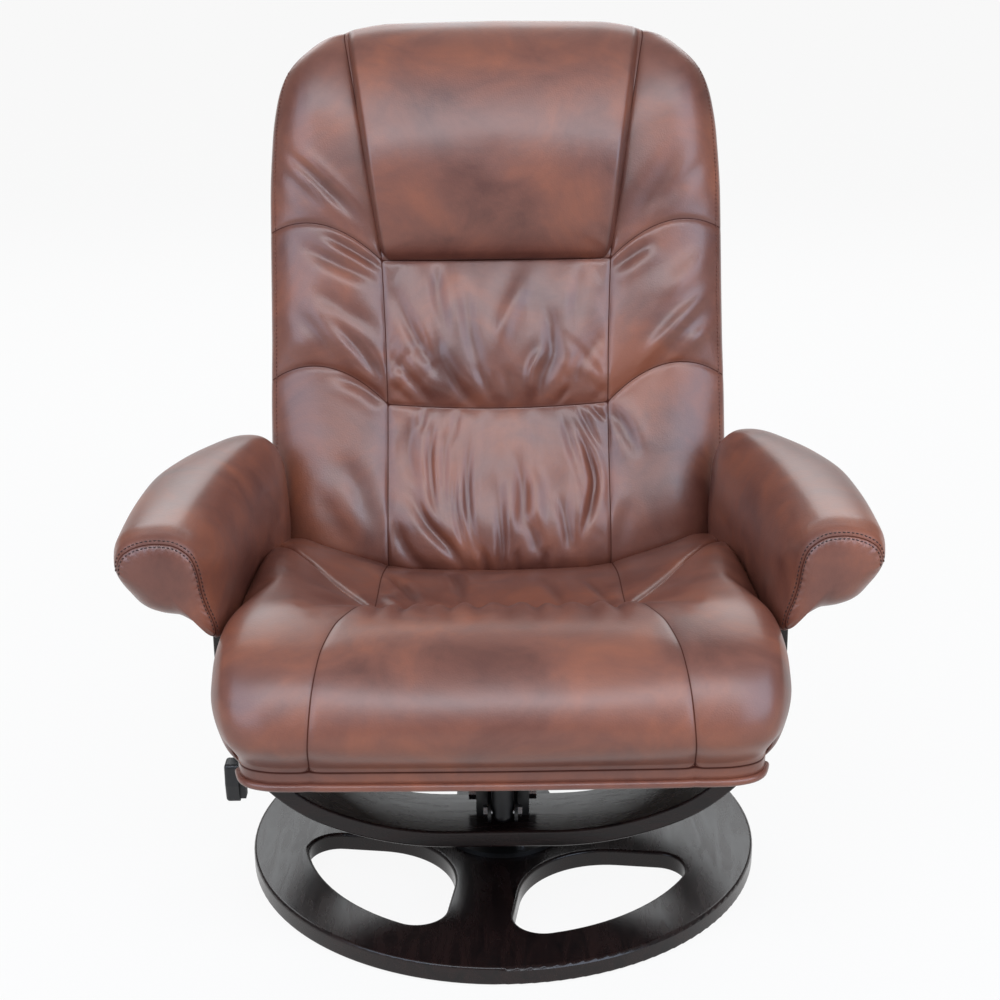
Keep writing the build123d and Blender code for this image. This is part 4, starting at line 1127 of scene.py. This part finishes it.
def makeSeatCushion():
    form = seatForm
    at = seatSampler(form)
    nf, nr = form["frontRows"], form["rearRows"]
    crossAt = form["crossShare"]
    rearLevel = crossAt + (1 - crossAt) * spaced(nr, 0.3)[1:]
    level = np.concatenate([crossAt * spaced(nf, 0.15), rearLevel])
    side = spaced(form["sideColumns"], 0.35)
    centre = -1 + 2 * spaced(form["centreColumns"], 0.25)
    seamX = through(form["seamShare"], form["seamAcross"], level)
    widest = form["across"][-1]
    # the side seam's row runs from the cross seam out to the rear corner
    crossX = float(np.interp(crossAt, form["seamShare"], form["seamAcross"]))
    probe = np.linspace(0, 1, 400)
    half = len(probe) // 2
    bent = []
    for w in side:
        x = crossX + (widest - crossX) * w
        y = at(np.full_like(probe, x), probe)[0]
        goal = form["crossY"] + (form["sideRearY"] - form["crossY"]) * w
        bent.append(float(np.interp(goal, y[half:], probe[half:])))
    bent = np.array(bent)
    # the bend grows from the band up to the cross seam and fades behind it
    front = (level <= crossAt + 1e-9)[:, None]
    fromFront = level[:, None] / crossAt * bent
    fromCross = bent + (level[:, None] - crossAt) / (1 - crossAt) * (1 - bent)
    sideShare = np.where(front, fromFront, fromCross)
    sideX = seamX[:, None] + (widest - seamX)[:, None] * side
    x = np.hstack([-sideX[:, :0:-1], centre * seamX[:, None], sideX[:, 1:]])
    centreShare = np.broadcast_to(level[:, None], (len(level), len(centre)))
    s = np.hstack([sideShare[:, :0:-1], centreShare, sideShare[:, 1:]])
    y, z = at(x, s)
    rows, cols = x.shape
    n = form["sideColumns"]
    seamCols = (n, n + form["centreColumns"])
    trueX = x * (1 - form["taper"] * (y - form["wideY"]))
    tuck = form["tuck"]
    tucked = tuck["deep"] * (1 - gentle(s / tuck["until"])) * (np.abs(x) / widest) ** 6
    trueX = trueX - np.sign(x) * tucked
    points = np.stack([trueX, y, z], -1)
    gap = np.full((rows, cols), 1.0)
    for k in seamCols:
        gap = np.minimum(gap, np.linalg.norm(points - points[:, [k]], axis=2))
    away = np.linalg.norm(points - points[[nf]], axis=2)
    gap = np.minimum(gap, away)
    normal = np.cross(np.gradient(points, axis=1), np.gradient(points, axis=0))
    normal /= np.maximum(np.linalg.norm(normal, axis=2, keepdims=True), 1e-12)
    centreColumn = np.abs(x) <= seamX[:, None] + 1e-6
    # the cross seam lies deeper than the other two
    deeper = np.exp(-(((gap - away) / 0.01) ** 2))
    dip = form["seamDip"] * np.exp(-gap / form["dipReach"]) * (0.3 + 0.7 * deeper)
    points = points - normal * dip[..., None]
    # band below, rear face, then the walls at both sides
    lowRow = points[0].copy()
    lowRow[:, 2] = form["under"]
    rear = []
    for k in form["rearFace"]:
        row = points[-1].copy()
        row[:, 2] = row[:, 2] + (form["under"] - row[:, 2]) * k
        row[:, 1] = row[:, 1] + form["rearBulge"] * math.sin(math.pi * k)
        rear.append(row)
    sheet = np.concatenate([lowRow[None], points] + [r[None] for r in rear])
    total = sheet.shape[0]
    table = np.arange(total * cols).reshape(total, cols)
    faces = gridFaces(table.tolist())
    stack = [sheet.reshape(-1, 3)]
    count = total * cols
    m = form["wallRows"]
    bulge = form["wallBulge"]
    walls = {}
    for end in (0, cols - 1):
        edge = sheet[:, end]
        run = np.concatenate([[0], np.cumsum(np.linalg.norm(np.diff(edge, axis=0), axis=1))])
        run = run / run[-1]
        low = np.zeros_like(edge)
        ends = [form["wallLowX"], abs(edge[-1, 0]) - 0.004]
        low[:, 0] = np.sign(edge[0, 0]) * np.interp(run, [0, 1], ends)
        low[:, 1] = np.interp(run, [0, 0.35, 1], [edge[0, 1], edge[0, 1] + 0.05, edge[-1, 1]])
        low[:, 2] = form["under"]
        low[0] = edge[0]
        low[-1] = edge[-1]
        last = table[:, end].tolist()
        rowsOfWall = [last]
        for k in range(1, m + 1):
            t = k / m
            row = edge * (1 - t) + low * t
            tall = np.clip(np.linalg.norm(edge - low, axis=1) / bulge["fullAt"], 0, 1)
            row[:, 0] += np.sign(edge[0, 0]) * bulge["out"] * np.sin(math.pi * t) * tall
            numbers = list(range(count, count + total))
            numbers[0] = last[0]
            numbers[-1] = last[-1]
            stack.append(row)
            count += total
            rowsOfWall.append(numbers)
        walls[end] = rowsOfWall
        faces += gridFaces(rowsOfWall)
    points = np.vstack(stack)
    piece = newPiece("seat_cushion_skin", points, faces, leather)
    used = np.zeros(len(points), bool)
    for face in faces:
        used[face] = True
    onSeam = np.zeros(len(points), bool)
    onSeam[table[1 : rows + 1, seamCols[0]]] = True
    onSeam[table[1 : rows + 1, seamCols[1]]] = True
    onSeam[table[nf + 1]] = True
    held = np.zeros(len(points))
    held[onSeam] = 1
    held[table[:3].ravel()] = 1
    held[table[-4:].ravel()] = 1
    for rowsOfWall in walls.values():
        held[rowsOfWall[-1]] = 1
        held[rowsOfWall[-2]] = 0.6
    held[~used] = 1
    seam = np.zeros(len(points))
    seam[table[1 : rows + 1]] = seamTone(gap)
    seam[table[1]] = 1.0
    slack = points.copy()
    slack[table[1 : rows + 1], 0] *= np.where(centreColumn, form["slack"], 1.0)
    swell(piece, held, slack, form["mostSwell"])
    setNumbers(piece.data, "seam", seam)
    lines = {"rows": total, "cols": cols, "seamRows": (0, 1, nf + 1), "seamCols": seamCols}
    sewLines = readLines(piece, lines)
    sewLines["split"] = (seamCols, nf + 1)
    # drop the wall points that no face uses
    bm = bmesh.new()
    bm.from_mesh(piece.data)
    loose = [v for v in bm.verts if not v.link_faces]
    bmesh.ops.delete(bm, geom=loose, context="VERTS")
    bm.to_mesh(piece.data)
    bm.free()
    refine(piece, onSeam[used], 1.0)
    foldSeat(piece)
    closeHoles(piece)
    return piece, sewLines


def foldSeat(piece):
    mesh = piece.data
    co = coordsOf(mesh)
    sewn = numbersOf(mesh, "seam")
    height = foldHeight(co[:, 0], co[:, 1], seatFolds) * (1 - sewn**3)
    height = height * (co[:, 2] > seatForm["foldsAbove"])
    pressFolds(mesh, co, height, np.array([0, 0, 1.0]))


seatCushion, seatLines = makeSeatCushion()
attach(seatCushion, "seat")
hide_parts("seat_cushion")
print("seat cushion:", len(seatCushion.data.polygons), "faces")

# Padded arms: rings from the front seam to the rear, and a puffed end panel
armForm = {
    "alongY": (-0.262, -0.250, -0.230, -0.150, -0.060, 0.020, 0.080, 0.118, 0.134, 0.139),
    "inner": (0.299, 0.295, 0.292, 0.286, 0.277, 0.267, 0.260, 0.262, 0.273, 0.290),
    "outer": (0.401, 0.404, 0.407, 0.408, 0.404, 0.385, 0.357, 0.340, 0.327, 0.313),
    "bottom": (0.415, 0.412, 0.411, 0.413, 0.414, 0.414, 0.414, 0.415, 0.420, 0.436),
    "crown": (0.510, 0.516, 0.521, 0.523, 0.523, 0.521, 0.518, 0.510, 0.497, 0.477),
    "ringAcross": (
        *(0.0, 0.01, 0.03, 0.065, 0.17, 0.37, 0.60, 0.80, 0.94),
        *(1.0, 0.985, 0.92, 0.80, 0.61, 0.36, 0.17, 0.06),
    ),
    "ringUp": (
        *(0.03, 0.16, 0.40, 0.62, 0.83, 0.97, 1.0, 0.96, 0.87),
        *(0.73, 0.55, 0.35, 0.17, 0.075, 0.035, 0.0, -0.02),
    ),
    "frontLean": {"share": 0.09, "until": 0.05, "within": 0.6},
    "skirt": {
        "drop": 0.038,
        "frontShare": 0.3,
        "fullAfter": 0.1,
        "endY": 0.130,
        "endOver": 0.012,
        "across": (0.16, 0.1),
        "below": (0.12, 0.13),
        "beyondSeat": 0.0045,
        "mostX": 0.2965,
        "rearY": -0.06,
        "rearOver": 0.08,
        "rearGap": 0.002,
        "middle": 0.045,
        "thick": 0.06,
    },
    "rings": 46,
    "around": 116,
    "endTilt": {"back": 0.022, "until": 0.06, "below": (0.7, 0.5), "beyond": (0.1, 0.3)},
    "pucker": {"period": 0.010, "height": 0.0006, "at": 0.92, "wide": 0.05},
    "endShare": (0.985, 0.955, 0.92, 0.88, 0.80, 0.66, 0.46, 0.24, 0.06),
    "endPuff": 0.0085,
    "pinch": {"deep": 0.0021, "along": 0.004, "soft": 0.04},
    "rearShare": (0.86, 0.6, 0.3, 0.05),
    "rearPuff": 0.004,
    "held": {"below": 0.12, "rearRings": 6, "hub": 0.3},
    "stitchLift": 0.0006,
    "mostSwell": 0.010,
    "pressure": 3.0,
    "frames": 14,
}


def loopThrough(values, count):
    # closed smooth line through a ring of values
    n = len(values)
    ring = np.concatenate([values, values, values])
    where = np.linspace(n, 2 * n, count, endpoint=False)
    k = where.astype(int)
    t = where - k
    p0, p1, p2, p3 = ring[k - 1], ring[k], ring[k + 1], ring[k + 2]
    square = (2 * p0 - 5 * p1 + 4 * p2 - p3) * t**2
    cube = (3 * p1 - p0 - 3 * p2 + p3) * t**3
    return 0.5 * (2 * p1 + (p2 - p0) * t + square + cube)


def makeArm(side):
    form = armForm
    y = through(np.linspace(0, 1, len(form["alongY"])), form["alongY"], spaced(form["rings"], 0.3))
    inner, outer, bottom, crown = [
        through(form["alongY"], form[key], y) for key in ("inner", "outer", "bottom", "crown")
    ]
    fx = loopThrough(np.array(form["ringAcross"]), form["around"])
    fz = loopThrough(np.array(form["ringUp"]), form["around"])
    frontY = form["alongY"][0]
    leanForm = form["frontLean"]
    lean = leanForm["share"] * (1 - gentle((y - frontY) / leanForm["until"]))
    # a flap hangs down the inner side, beside the seat
    skirt = form["skirt"]
    acrossAt, acrossOver = skirt["across"]
    belowAt, belowOver = skirt["below"]
    low = gentle((acrossAt - fx) / acrossOver) * gentle((belowAt - fz) / belowOver)
    grown = (1 - skirt["frontShare"]) * gentle((y - frontY) / skirt["fullAfter"])
    ended = gentle((y - skirt["endY"]) / skirt["endOver"])
    drop = skirt["drop"] * (skirt["frontShare"] + grown) * (1 - ended)
    seatSide = seatForm["across"][-1] * (1 - seatForm["taper"] * (y - seatForm["wideY"]))
    skirtX = np.minimum(seatSide + skirt["beyondSeat"], skirt["mostX"])
    rearward = gentle((y - skirt["rearY"]) / skirt["rearOver"])
    skirtX = skirtX + (inner + skirt["rearGap"] - skirtX) * rearward
    x = inner[:, None] + (outer - inner)[:, None] * fx
    z = bottom[:, None] + (crown - bottom)[:, None] * fz
    leaning = np.sin(math.pi * np.clip(fz, 0, 1)) * (fx < leanForm["within"]) * (1 - fx)
    x = x + lean[:, None] * (outer - inner)[:, None] * leaning
    hang = low * np.minimum(drop / skirt["drop"], 1)[:, None]
    x = x * (1 - hang) + hang * (skirtX[:, None] + (fx - skirt["middle"]) * skirt["thick"])
    z = z - low * drop[:, None]
    # the end seam draws the pad in
    pinch = form["pinch"]
    draw = pinch["deep"] * np.exp(-(((y - frontY) / pinch["along"]) ** 2))[:, None]
    x = x - draw * np.clip((x - (inner + outer)[:, None] / 2) / pinch["soft"], -1, 1)
    z = z - draw * np.clip((z - (bottom + crown)[:, None] / 2) / pinch["soft"], -1, 1)
    # the end seam swings back under the outer side, where the end panel wraps round
    tilt = form["endTilt"]
    belowAt, belowOver = tilt["below"]
    beyondAt, beyondOver = tilt["beyond"]
    tilted = gentle((belowAt - fz) / belowOver) * gentle((fx - beyondAt) / beyondOver)
    yy = y[:, None] + tilt["back"] * tilted * (1 - gentle((y - frontY) / tilt["until"]))[:, None]
    rings = np.stack([x, yy, z], -1)
    first = rings[0]
    hub = first.mean(0)
    front = first[:, 1].min()
    run = np.cumsum(np.linalg.norm(np.roll(first, -1, 0) - first, axis=1))
    pucker = form["pucker"]
    wave = pucker["height"] * np.sin(2 * math.pi * run / pucker["period"]) * (1 - tilted)
    caps = []
    for share in form["endShare"]:
        ring = hub + (first - hub) * share
        puff = form["endPuff"] * (1 - share**4) ** 0.7
        ring[:, 1] = front + (first[:, 1] - front) * share**3 - puff
        ring[:, 1] += wave * math.exp(-(((share - pucker["at"]) / pucker["wide"]) ** 2))
        caps.append(ring)
    tail = rings[-1]
    tailHub = tail.mean(0)
    rearCaps = []
    for share in form["rearShare"]:
        ring = tailHub + (tail - tailHub) * share
        ring[:, 1] = tail[:, 1] + form["rearPuff"] * (1 - share**2)
        rearCaps.append(ring)
    sheet = np.concatenate([np.array(caps[::-1]), rings, np.array(rearCaps)])
    sheet[..., 0] *= side
    count, around = sheet.shape[:2]
    table = np.arange(count * around).reshape(count, around)
    closed = np.hstack([table, table[:, :1]])
    faces = gridFaces(closed.tolist())
    name = "arm_pad_%s_skin" % ("left" if side > 0 else "right")
    piece = newPiece(name, sheet.reshape(-1, 3), faces, leather)
    seamRing = len(caps)
    seam = seamTone(np.linalg.norm(sheet - sheet[[seamRing]], axis=2))
    fixed = form["held"]
    held = np.zeros((count, around))
    held[seamRing] = 1
    held[:, fz < fixed["below"]] = 1
    held[-fixed["rearRings"] :] = 1
    held[0] = fixed["hub"]
    swell(piece, held.ravel(), None, form["mostSwell"], form["pressure"], form["frames"])
    setNumbers(piece.data, "seam", seam.ravel())
    co = coordsOf(piece.data).reshape(count, around, 3)
    normals = normalsOf(piece.data).reshape(count, around, 3)
    sewLines = []
    shown = np.arange(int(np.argmax(tilted > 0.02)))
    for k in (seamRing - 2, seamRing + 2):
        sewLines.append(co[k][shown] + form["stitchLift"] * normals[k][shown])
    sharp = np.zeros((count, around), bool)
    sharp[seamRing] = True
    refine(piece, sharp.ravel())
    closeHoles(piece)
    return piece, sewLines


armStitches = []
for side in (1, -1):
    arm, sewn = makeArm(side)
    armStitches += sewn
    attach(arm, "frame")
    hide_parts("arm_pad_left" if side > 0 else "arm_pad_right")
    print(arm.name, len(arm.data.polygons), "faces")


# Stitches and piping, laid along the sewn lines by node trees
def treeWith(name, sizes):
    tree = bpy.data.node_groups.new(name, "GeometryNodeTree")
    face = tree.interface
    face.new_socket(name="Geometry", in_out="INPUT", socket_type="NodeSocketGeometry")
    for key, value in sizes.items():
        socket = face.new_socket(name=key, in_out="INPUT", socket_type="NodeSocketFloat")
        socket.default_value = value
    face.new_socket(name="Finish", in_out="INPUT", socket_type="NodeSocketMaterial")
    face.new_socket(name="Geometry", in_out="OUTPUT", socket_type="NodeSocketGeometry")
    start = tree.nodes.new("NodeGroupInput")
    end = tree.nodes.new("NodeGroupOutput")
    path = tree.nodes.new("GeometryNodeMeshToCurve")
    tree.links.new(start.outputs["Geometry"], path.inputs["Mesh"])
    even = tree.nodes.new("GeometryNodeResampleCurve")
    even.mode = "LENGTH"
    tree.links.new(path.outputs["Curve"], even.inputs["Curve"])
    tree.links.new(start.outputs["Pitch"], even.inputs["Length"])
    return tree, start, even.outputs["Curve"], end


def finishTree(tree, start, made, end):
    link = tree.links.new
    real = tree.nodes.new("GeometryNodeRealizeInstances")
    smooth = tree.nodes.new("GeometryNodeSetShadeSmooth")
    paint = tree.nodes.new("GeometryNodeSetMaterial")
    link(made, real.inputs["Geometry"])
    link(real.outputs["Geometry"], smooth.inputs["Geometry"])
    link(smooth.outputs["Geometry"], paint.inputs["Geometry"])
    link(start.outputs["Finish"], paint.inputs["Material"])
    link(paint.outputs["Geometry"], end.inputs["Geometry"])
    return tree


def stitchTree():
    sizes = {"Pitch": 0.005, "Length": 0.0036, "Thickness": 0.0011}
    tree, start, path, end = treeWith("stitch_row", sizes)
    link = tree.links.new
    bead = tree.nodes.new("GeometryNodeMeshUVSphere")
    bead.inputs["Segments"].default_value = 6
    bead.inputs["Rings"].default_value = 4
    bead.inputs["Radius"].default_value = 0.5
    along = tree.nodes.new("GeometryNodeInputTangent")
    turn = tree.nodes.new("FunctionNodeAlignRotationToVector")
    turn.axis = "X"
    link(along.outputs[0], turn.inputs["Vector"])
    size = tree.nodes.new("ShaderNodeCombineXYZ")
    link(start.outputs["Length"], size.inputs["X"])
    link(start.outputs["Thickness"], size.inputs["Y"])
    link(start.outputs["Thickness"], size.inputs["Z"])
    lay = tree.nodes.new("GeometryNodeInstanceOnPoints")
    link(path, lay.inputs["Points"])
    link(bead.outputs["Mesh"], lay.inputs["Instance"])
    link(turn.outputs["Rotation"], lay.inputs["Rotation"])
    link(size.outputs["Vector"], lay.inputs["Scale"])
    return finishTree(tree, start, lay.outputs["Instances"], end)


def pipingTree():
    tree, start, path, end = treeWith("piping_run", {"Pitch": 0.006, "Radius": 0.004})
    link = tree.links.new
    ring = tree.nodes.new("GeometryNodeCurvePrimitiveCircle")
    ring.inputs["Resolution"].default_value = 12
    link(start.outputs["Radius"], ring.inputs["Radius"])
    tube = tree.nodes.new("GeometryNodeCurveToMesh")
    tube.inputs["Fill Caps"].default_value = True
    link(path, tube.inputs["Curve"])
    link(ring.outputs["Curve"], tube.inputs["Profile Curve"])
    return finishTree(tree, start, tube.outputs["Mesh"], end)


def layAlong(name, lines, tree, sizes, finish, body):
    # one mesh of open lines, turned into sewn detail by the tree
    points = []
    edges = []
    for line in lines:
        first = len(points)
        points += [tuple(p) for p in line]
        edges += [(first + k, first + k + 1) for k in range(len(line) - 1)]
    mesh = bpy.data.meshes.new(name)
    mesh.from_pydata(points, edges, [])
    piece = bpy.data.objects.new(name, mesh)
    scene.collection.objects.link(piece)
    lay = piece.modifiers.new("lay", "NODES")
    lay.node_group = tree
    for item in tree.interface.items_tree:
        if item.in_out != "INPUT":
            continue
        if item.name in sizes:
            lay[item.identifier] = sizes[item.name]
        if item.name == "Finish":
            lay[item.identifier] = finish
    settle(piece)
    if not piece.data.materials:
        piece.data.materials.append(finish)
    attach(piece, body)
    print(name, len(piece.data.polygons), "faces")


def lifted(line, by, first=0, last=None):
    points, normals = line
    return (points + by * normals)[first:last]


stitchRow = stitchTree()
pipingRun = pipingTree()
(seatLeft, seatRight), crossRow = seatLines["split"]
crossLine = lifted(seatLines["row%d" % crossRow], 0.0005)
crossEnds = [crossLine[: seatLeft + 1], crossLine[seatRight:]]
bandLine = lifted(seatLines["row1"], 0.0007)
backEdges = [lifted(backLines[edge], 0.0006, 6, -9) for edge in ("left", "right")]
seatRun = {"Pitch": 0.006, "Radius": 0.0042}
coverRun = {"Pitch": 0.006, "Radius": 0.0028}
seatSewing = {"Pitch": 0.0042, "Length": 0.0034, "Thickness": 0.0010}
backSewing = {"Pitch": 0.0052, "Length": 0.0036, "Thickness": 0.0012}
armSewing = {"Pitch": 0.0046, "Length": 0.0034, "Thickness": 0.0012}
layAlong("seat_piping", [seatLines["row0"][0]], pipingRun, seatRun, leather, "seat")
layAlong("seat_stitches", crossEnds + [bandLine], stitchRow, seatSewing, paleThread, "seat")
layAlong("back_stitches", backEdges, stitchRow, backSewing, thread, "back")
layAlong("arm_stitches", armStitches, stitchRow, armSewing, darkThread, "frame")
layAlong("cover_piping", [coverEdge], pipingRun, coverRun, leather, "back")
print("stitches and piping laid")

# Camera as the photograph was taken
cameraForm = {
    "place": (0.0012, -2.04, 1.166),
    "pitch": 19.05,
    "roll": 0.7,
    "focalPixels": 1827.0,
    "imagePixels": 1000,
    "sensor": 36.0,
}


def makeCamera(form):
    pitch = math.radians(form["pitch"])
    roll = math.radians(form["roll"])
    ahead = Vector((0, math.cos(pitch), -math.sin(pitch)))
    above = Vector((0, math.sin(pitch), math.cos(pitch)))
    right = Vector((1, 0, 0))
    lens = bpy.data.cameras.new("photo_camera")
    lens.sensor_width = form["sensor"]
    lens.lens = form["sensor"] * form["focalPixels"] / form["imagePixels"]
    camera = bpy.data.objects.new("photo_camera", lens)
    scene.collection.objects.link(camera)
    across = right * math.cos(roll) - above * math.sin(roll)
    upward = right * math.sin(roll) + above * math.cos(roll)
    turn = Matrix((across, upward, -ahead)).transposed()
    camera.matrix_world = Matrix.Translation(Vector(form["place"])) @ turn.to_4x4()
    scene.camera = camera


makeCamera(cameraForm)

# Pale floor and soft studio light
lampForm = {
    "over": {"place": (0, -3.2, 4.4), "aim": (0, 0, 0.65), "size": (5.0, 1.3), "power": 150},
    "left": {"place": (-2.9, -2.6, 2.6), "aim": (0, 0, 0.6), "size": (2.6, 2.6), "power": 84},
    "right": {"place": (2.9, -2.6, 2.6), "aim": (0, 0, 0.6), "size": (2.6, 2.6), "power": 98},
    "rear": {"place": (0, 3.2, 2.7), "aim": (0, 0, 0.6), "size": (4.5, 2.0), "power": 88},
}
lampTint = {
    "over": (0.92, 0.98, 1.07),
    "left": (0.78, 0.92, 1.16),
    "right": (0.78, 0.92, 1.16),
    "rear": (0.95, 0.98, 1.0),
}


def makeLamps():
    for name, form in lampForm.items():
        lamp = bpy.data.lights.new(name + "_softbox", "AREA")
        lamp.shape = "RECTANGLE"
        lamp.size, lamp.size_y = form["size"]
        lamp.energy = form["power"]
        lamp.color = lampTint[name]
        holder = bpy.data.objects.new(name + "_softbox", lamp)
        scene.collection.objects.link(holder)
        holder.location = form["place"]
        aim = Vector(form["aim"]) - Vector(form["place"])
        holder.rotation_euler = aim.to_track_quat("-Z", "Y").to_euler()


def seenDirectly(tree):
    path = addNode(tree, "ShaderNodeLightPath")
    seen = math2(tree, "MAXIMUM", path.outputs["Is Camera Ray"], path.outputs["Is Glossy Ray"])
    return math2(tree, "MAXIMUM", seen, path.outputs["Is Transmission Ray"])


stageForm = {
    "half": 40.0,
    "floorGrey": 0.55,
    "shownWhite": 0.92,
    "sky": ((0.05, 0.95), (0.16, 0.20), (0.6, 0.28), (0.95, 0.6)),
}


def makeStage(form):
    half = form["half"]
    corners = [(-half, -half, 0), (half, -half, 0), (half, half, 0), (-half, half, 0)]
    mesh = bpy.data.meshes.new("studio_floor")
    mesh.from_pydata(corners, [], [(0, 1, 2, 3)])
    floor = bpy.data.objects.new("studio_floor", mesh)
    scene.collection.objects.link(floor)
    finish = bpy.data.materials.new("pale_floor")
    finish.use_nodes = True
    tree = finish.node_tree
    tree.nodes.clear()
    grey = form["floorGrey"]
    paper = addNode(tree, "ShaderNodeBsdfDiffuse", Color=(grey, grey, grey, 1))
    glow = addNode(tree, "ShaderNodeEmission", Color=(1, 1, 1, 1), Strength=1.0)
    blend = addNode(tree, "ShaderNodeMixShader")
    out = addNode(tree, "ShaderNodeOutputMaterial")
    share = math2(tree, "MULTIPLY", seenDirectly(tree), form["shownWhite"])
    tree.links.new(share, blend.inputs[0])
    tree.links.new(paper.outputs[0], blend.inputs[1])
    tree.links.new(glow.outputs[0], blend.inputs[2])
    tree.links.new(blend.outputs[0], out.inputs["Surface"])
    mesh.materials.append(finish)
    world = bpy.data.worlds.new("studio")
    scene.world = world
    world.use_nodes = True
    tree = world.node_tree
    sky = tree.nodes["Background"]
    # bright near the horizon, dim overhead
    toward = addNode(tree, "ShaderNodeTexCoord").outputs["Generated"]
    parts = addNode(tree, "ShaderNodeSeparateXYZ")
    tree.links.new(toward, parts.inputs[0])
    levels = [(z, (level, level, level, 1)) for z, level in form["sky"]]
    tree.links.new(ramp(tree, parts.outputs["Z"], levels), sky.inputs["Color"])


makeLamps()
makeStage(stageForm)
print("lamps and floor set")
scene.view_settings.view_transform = "Standard"
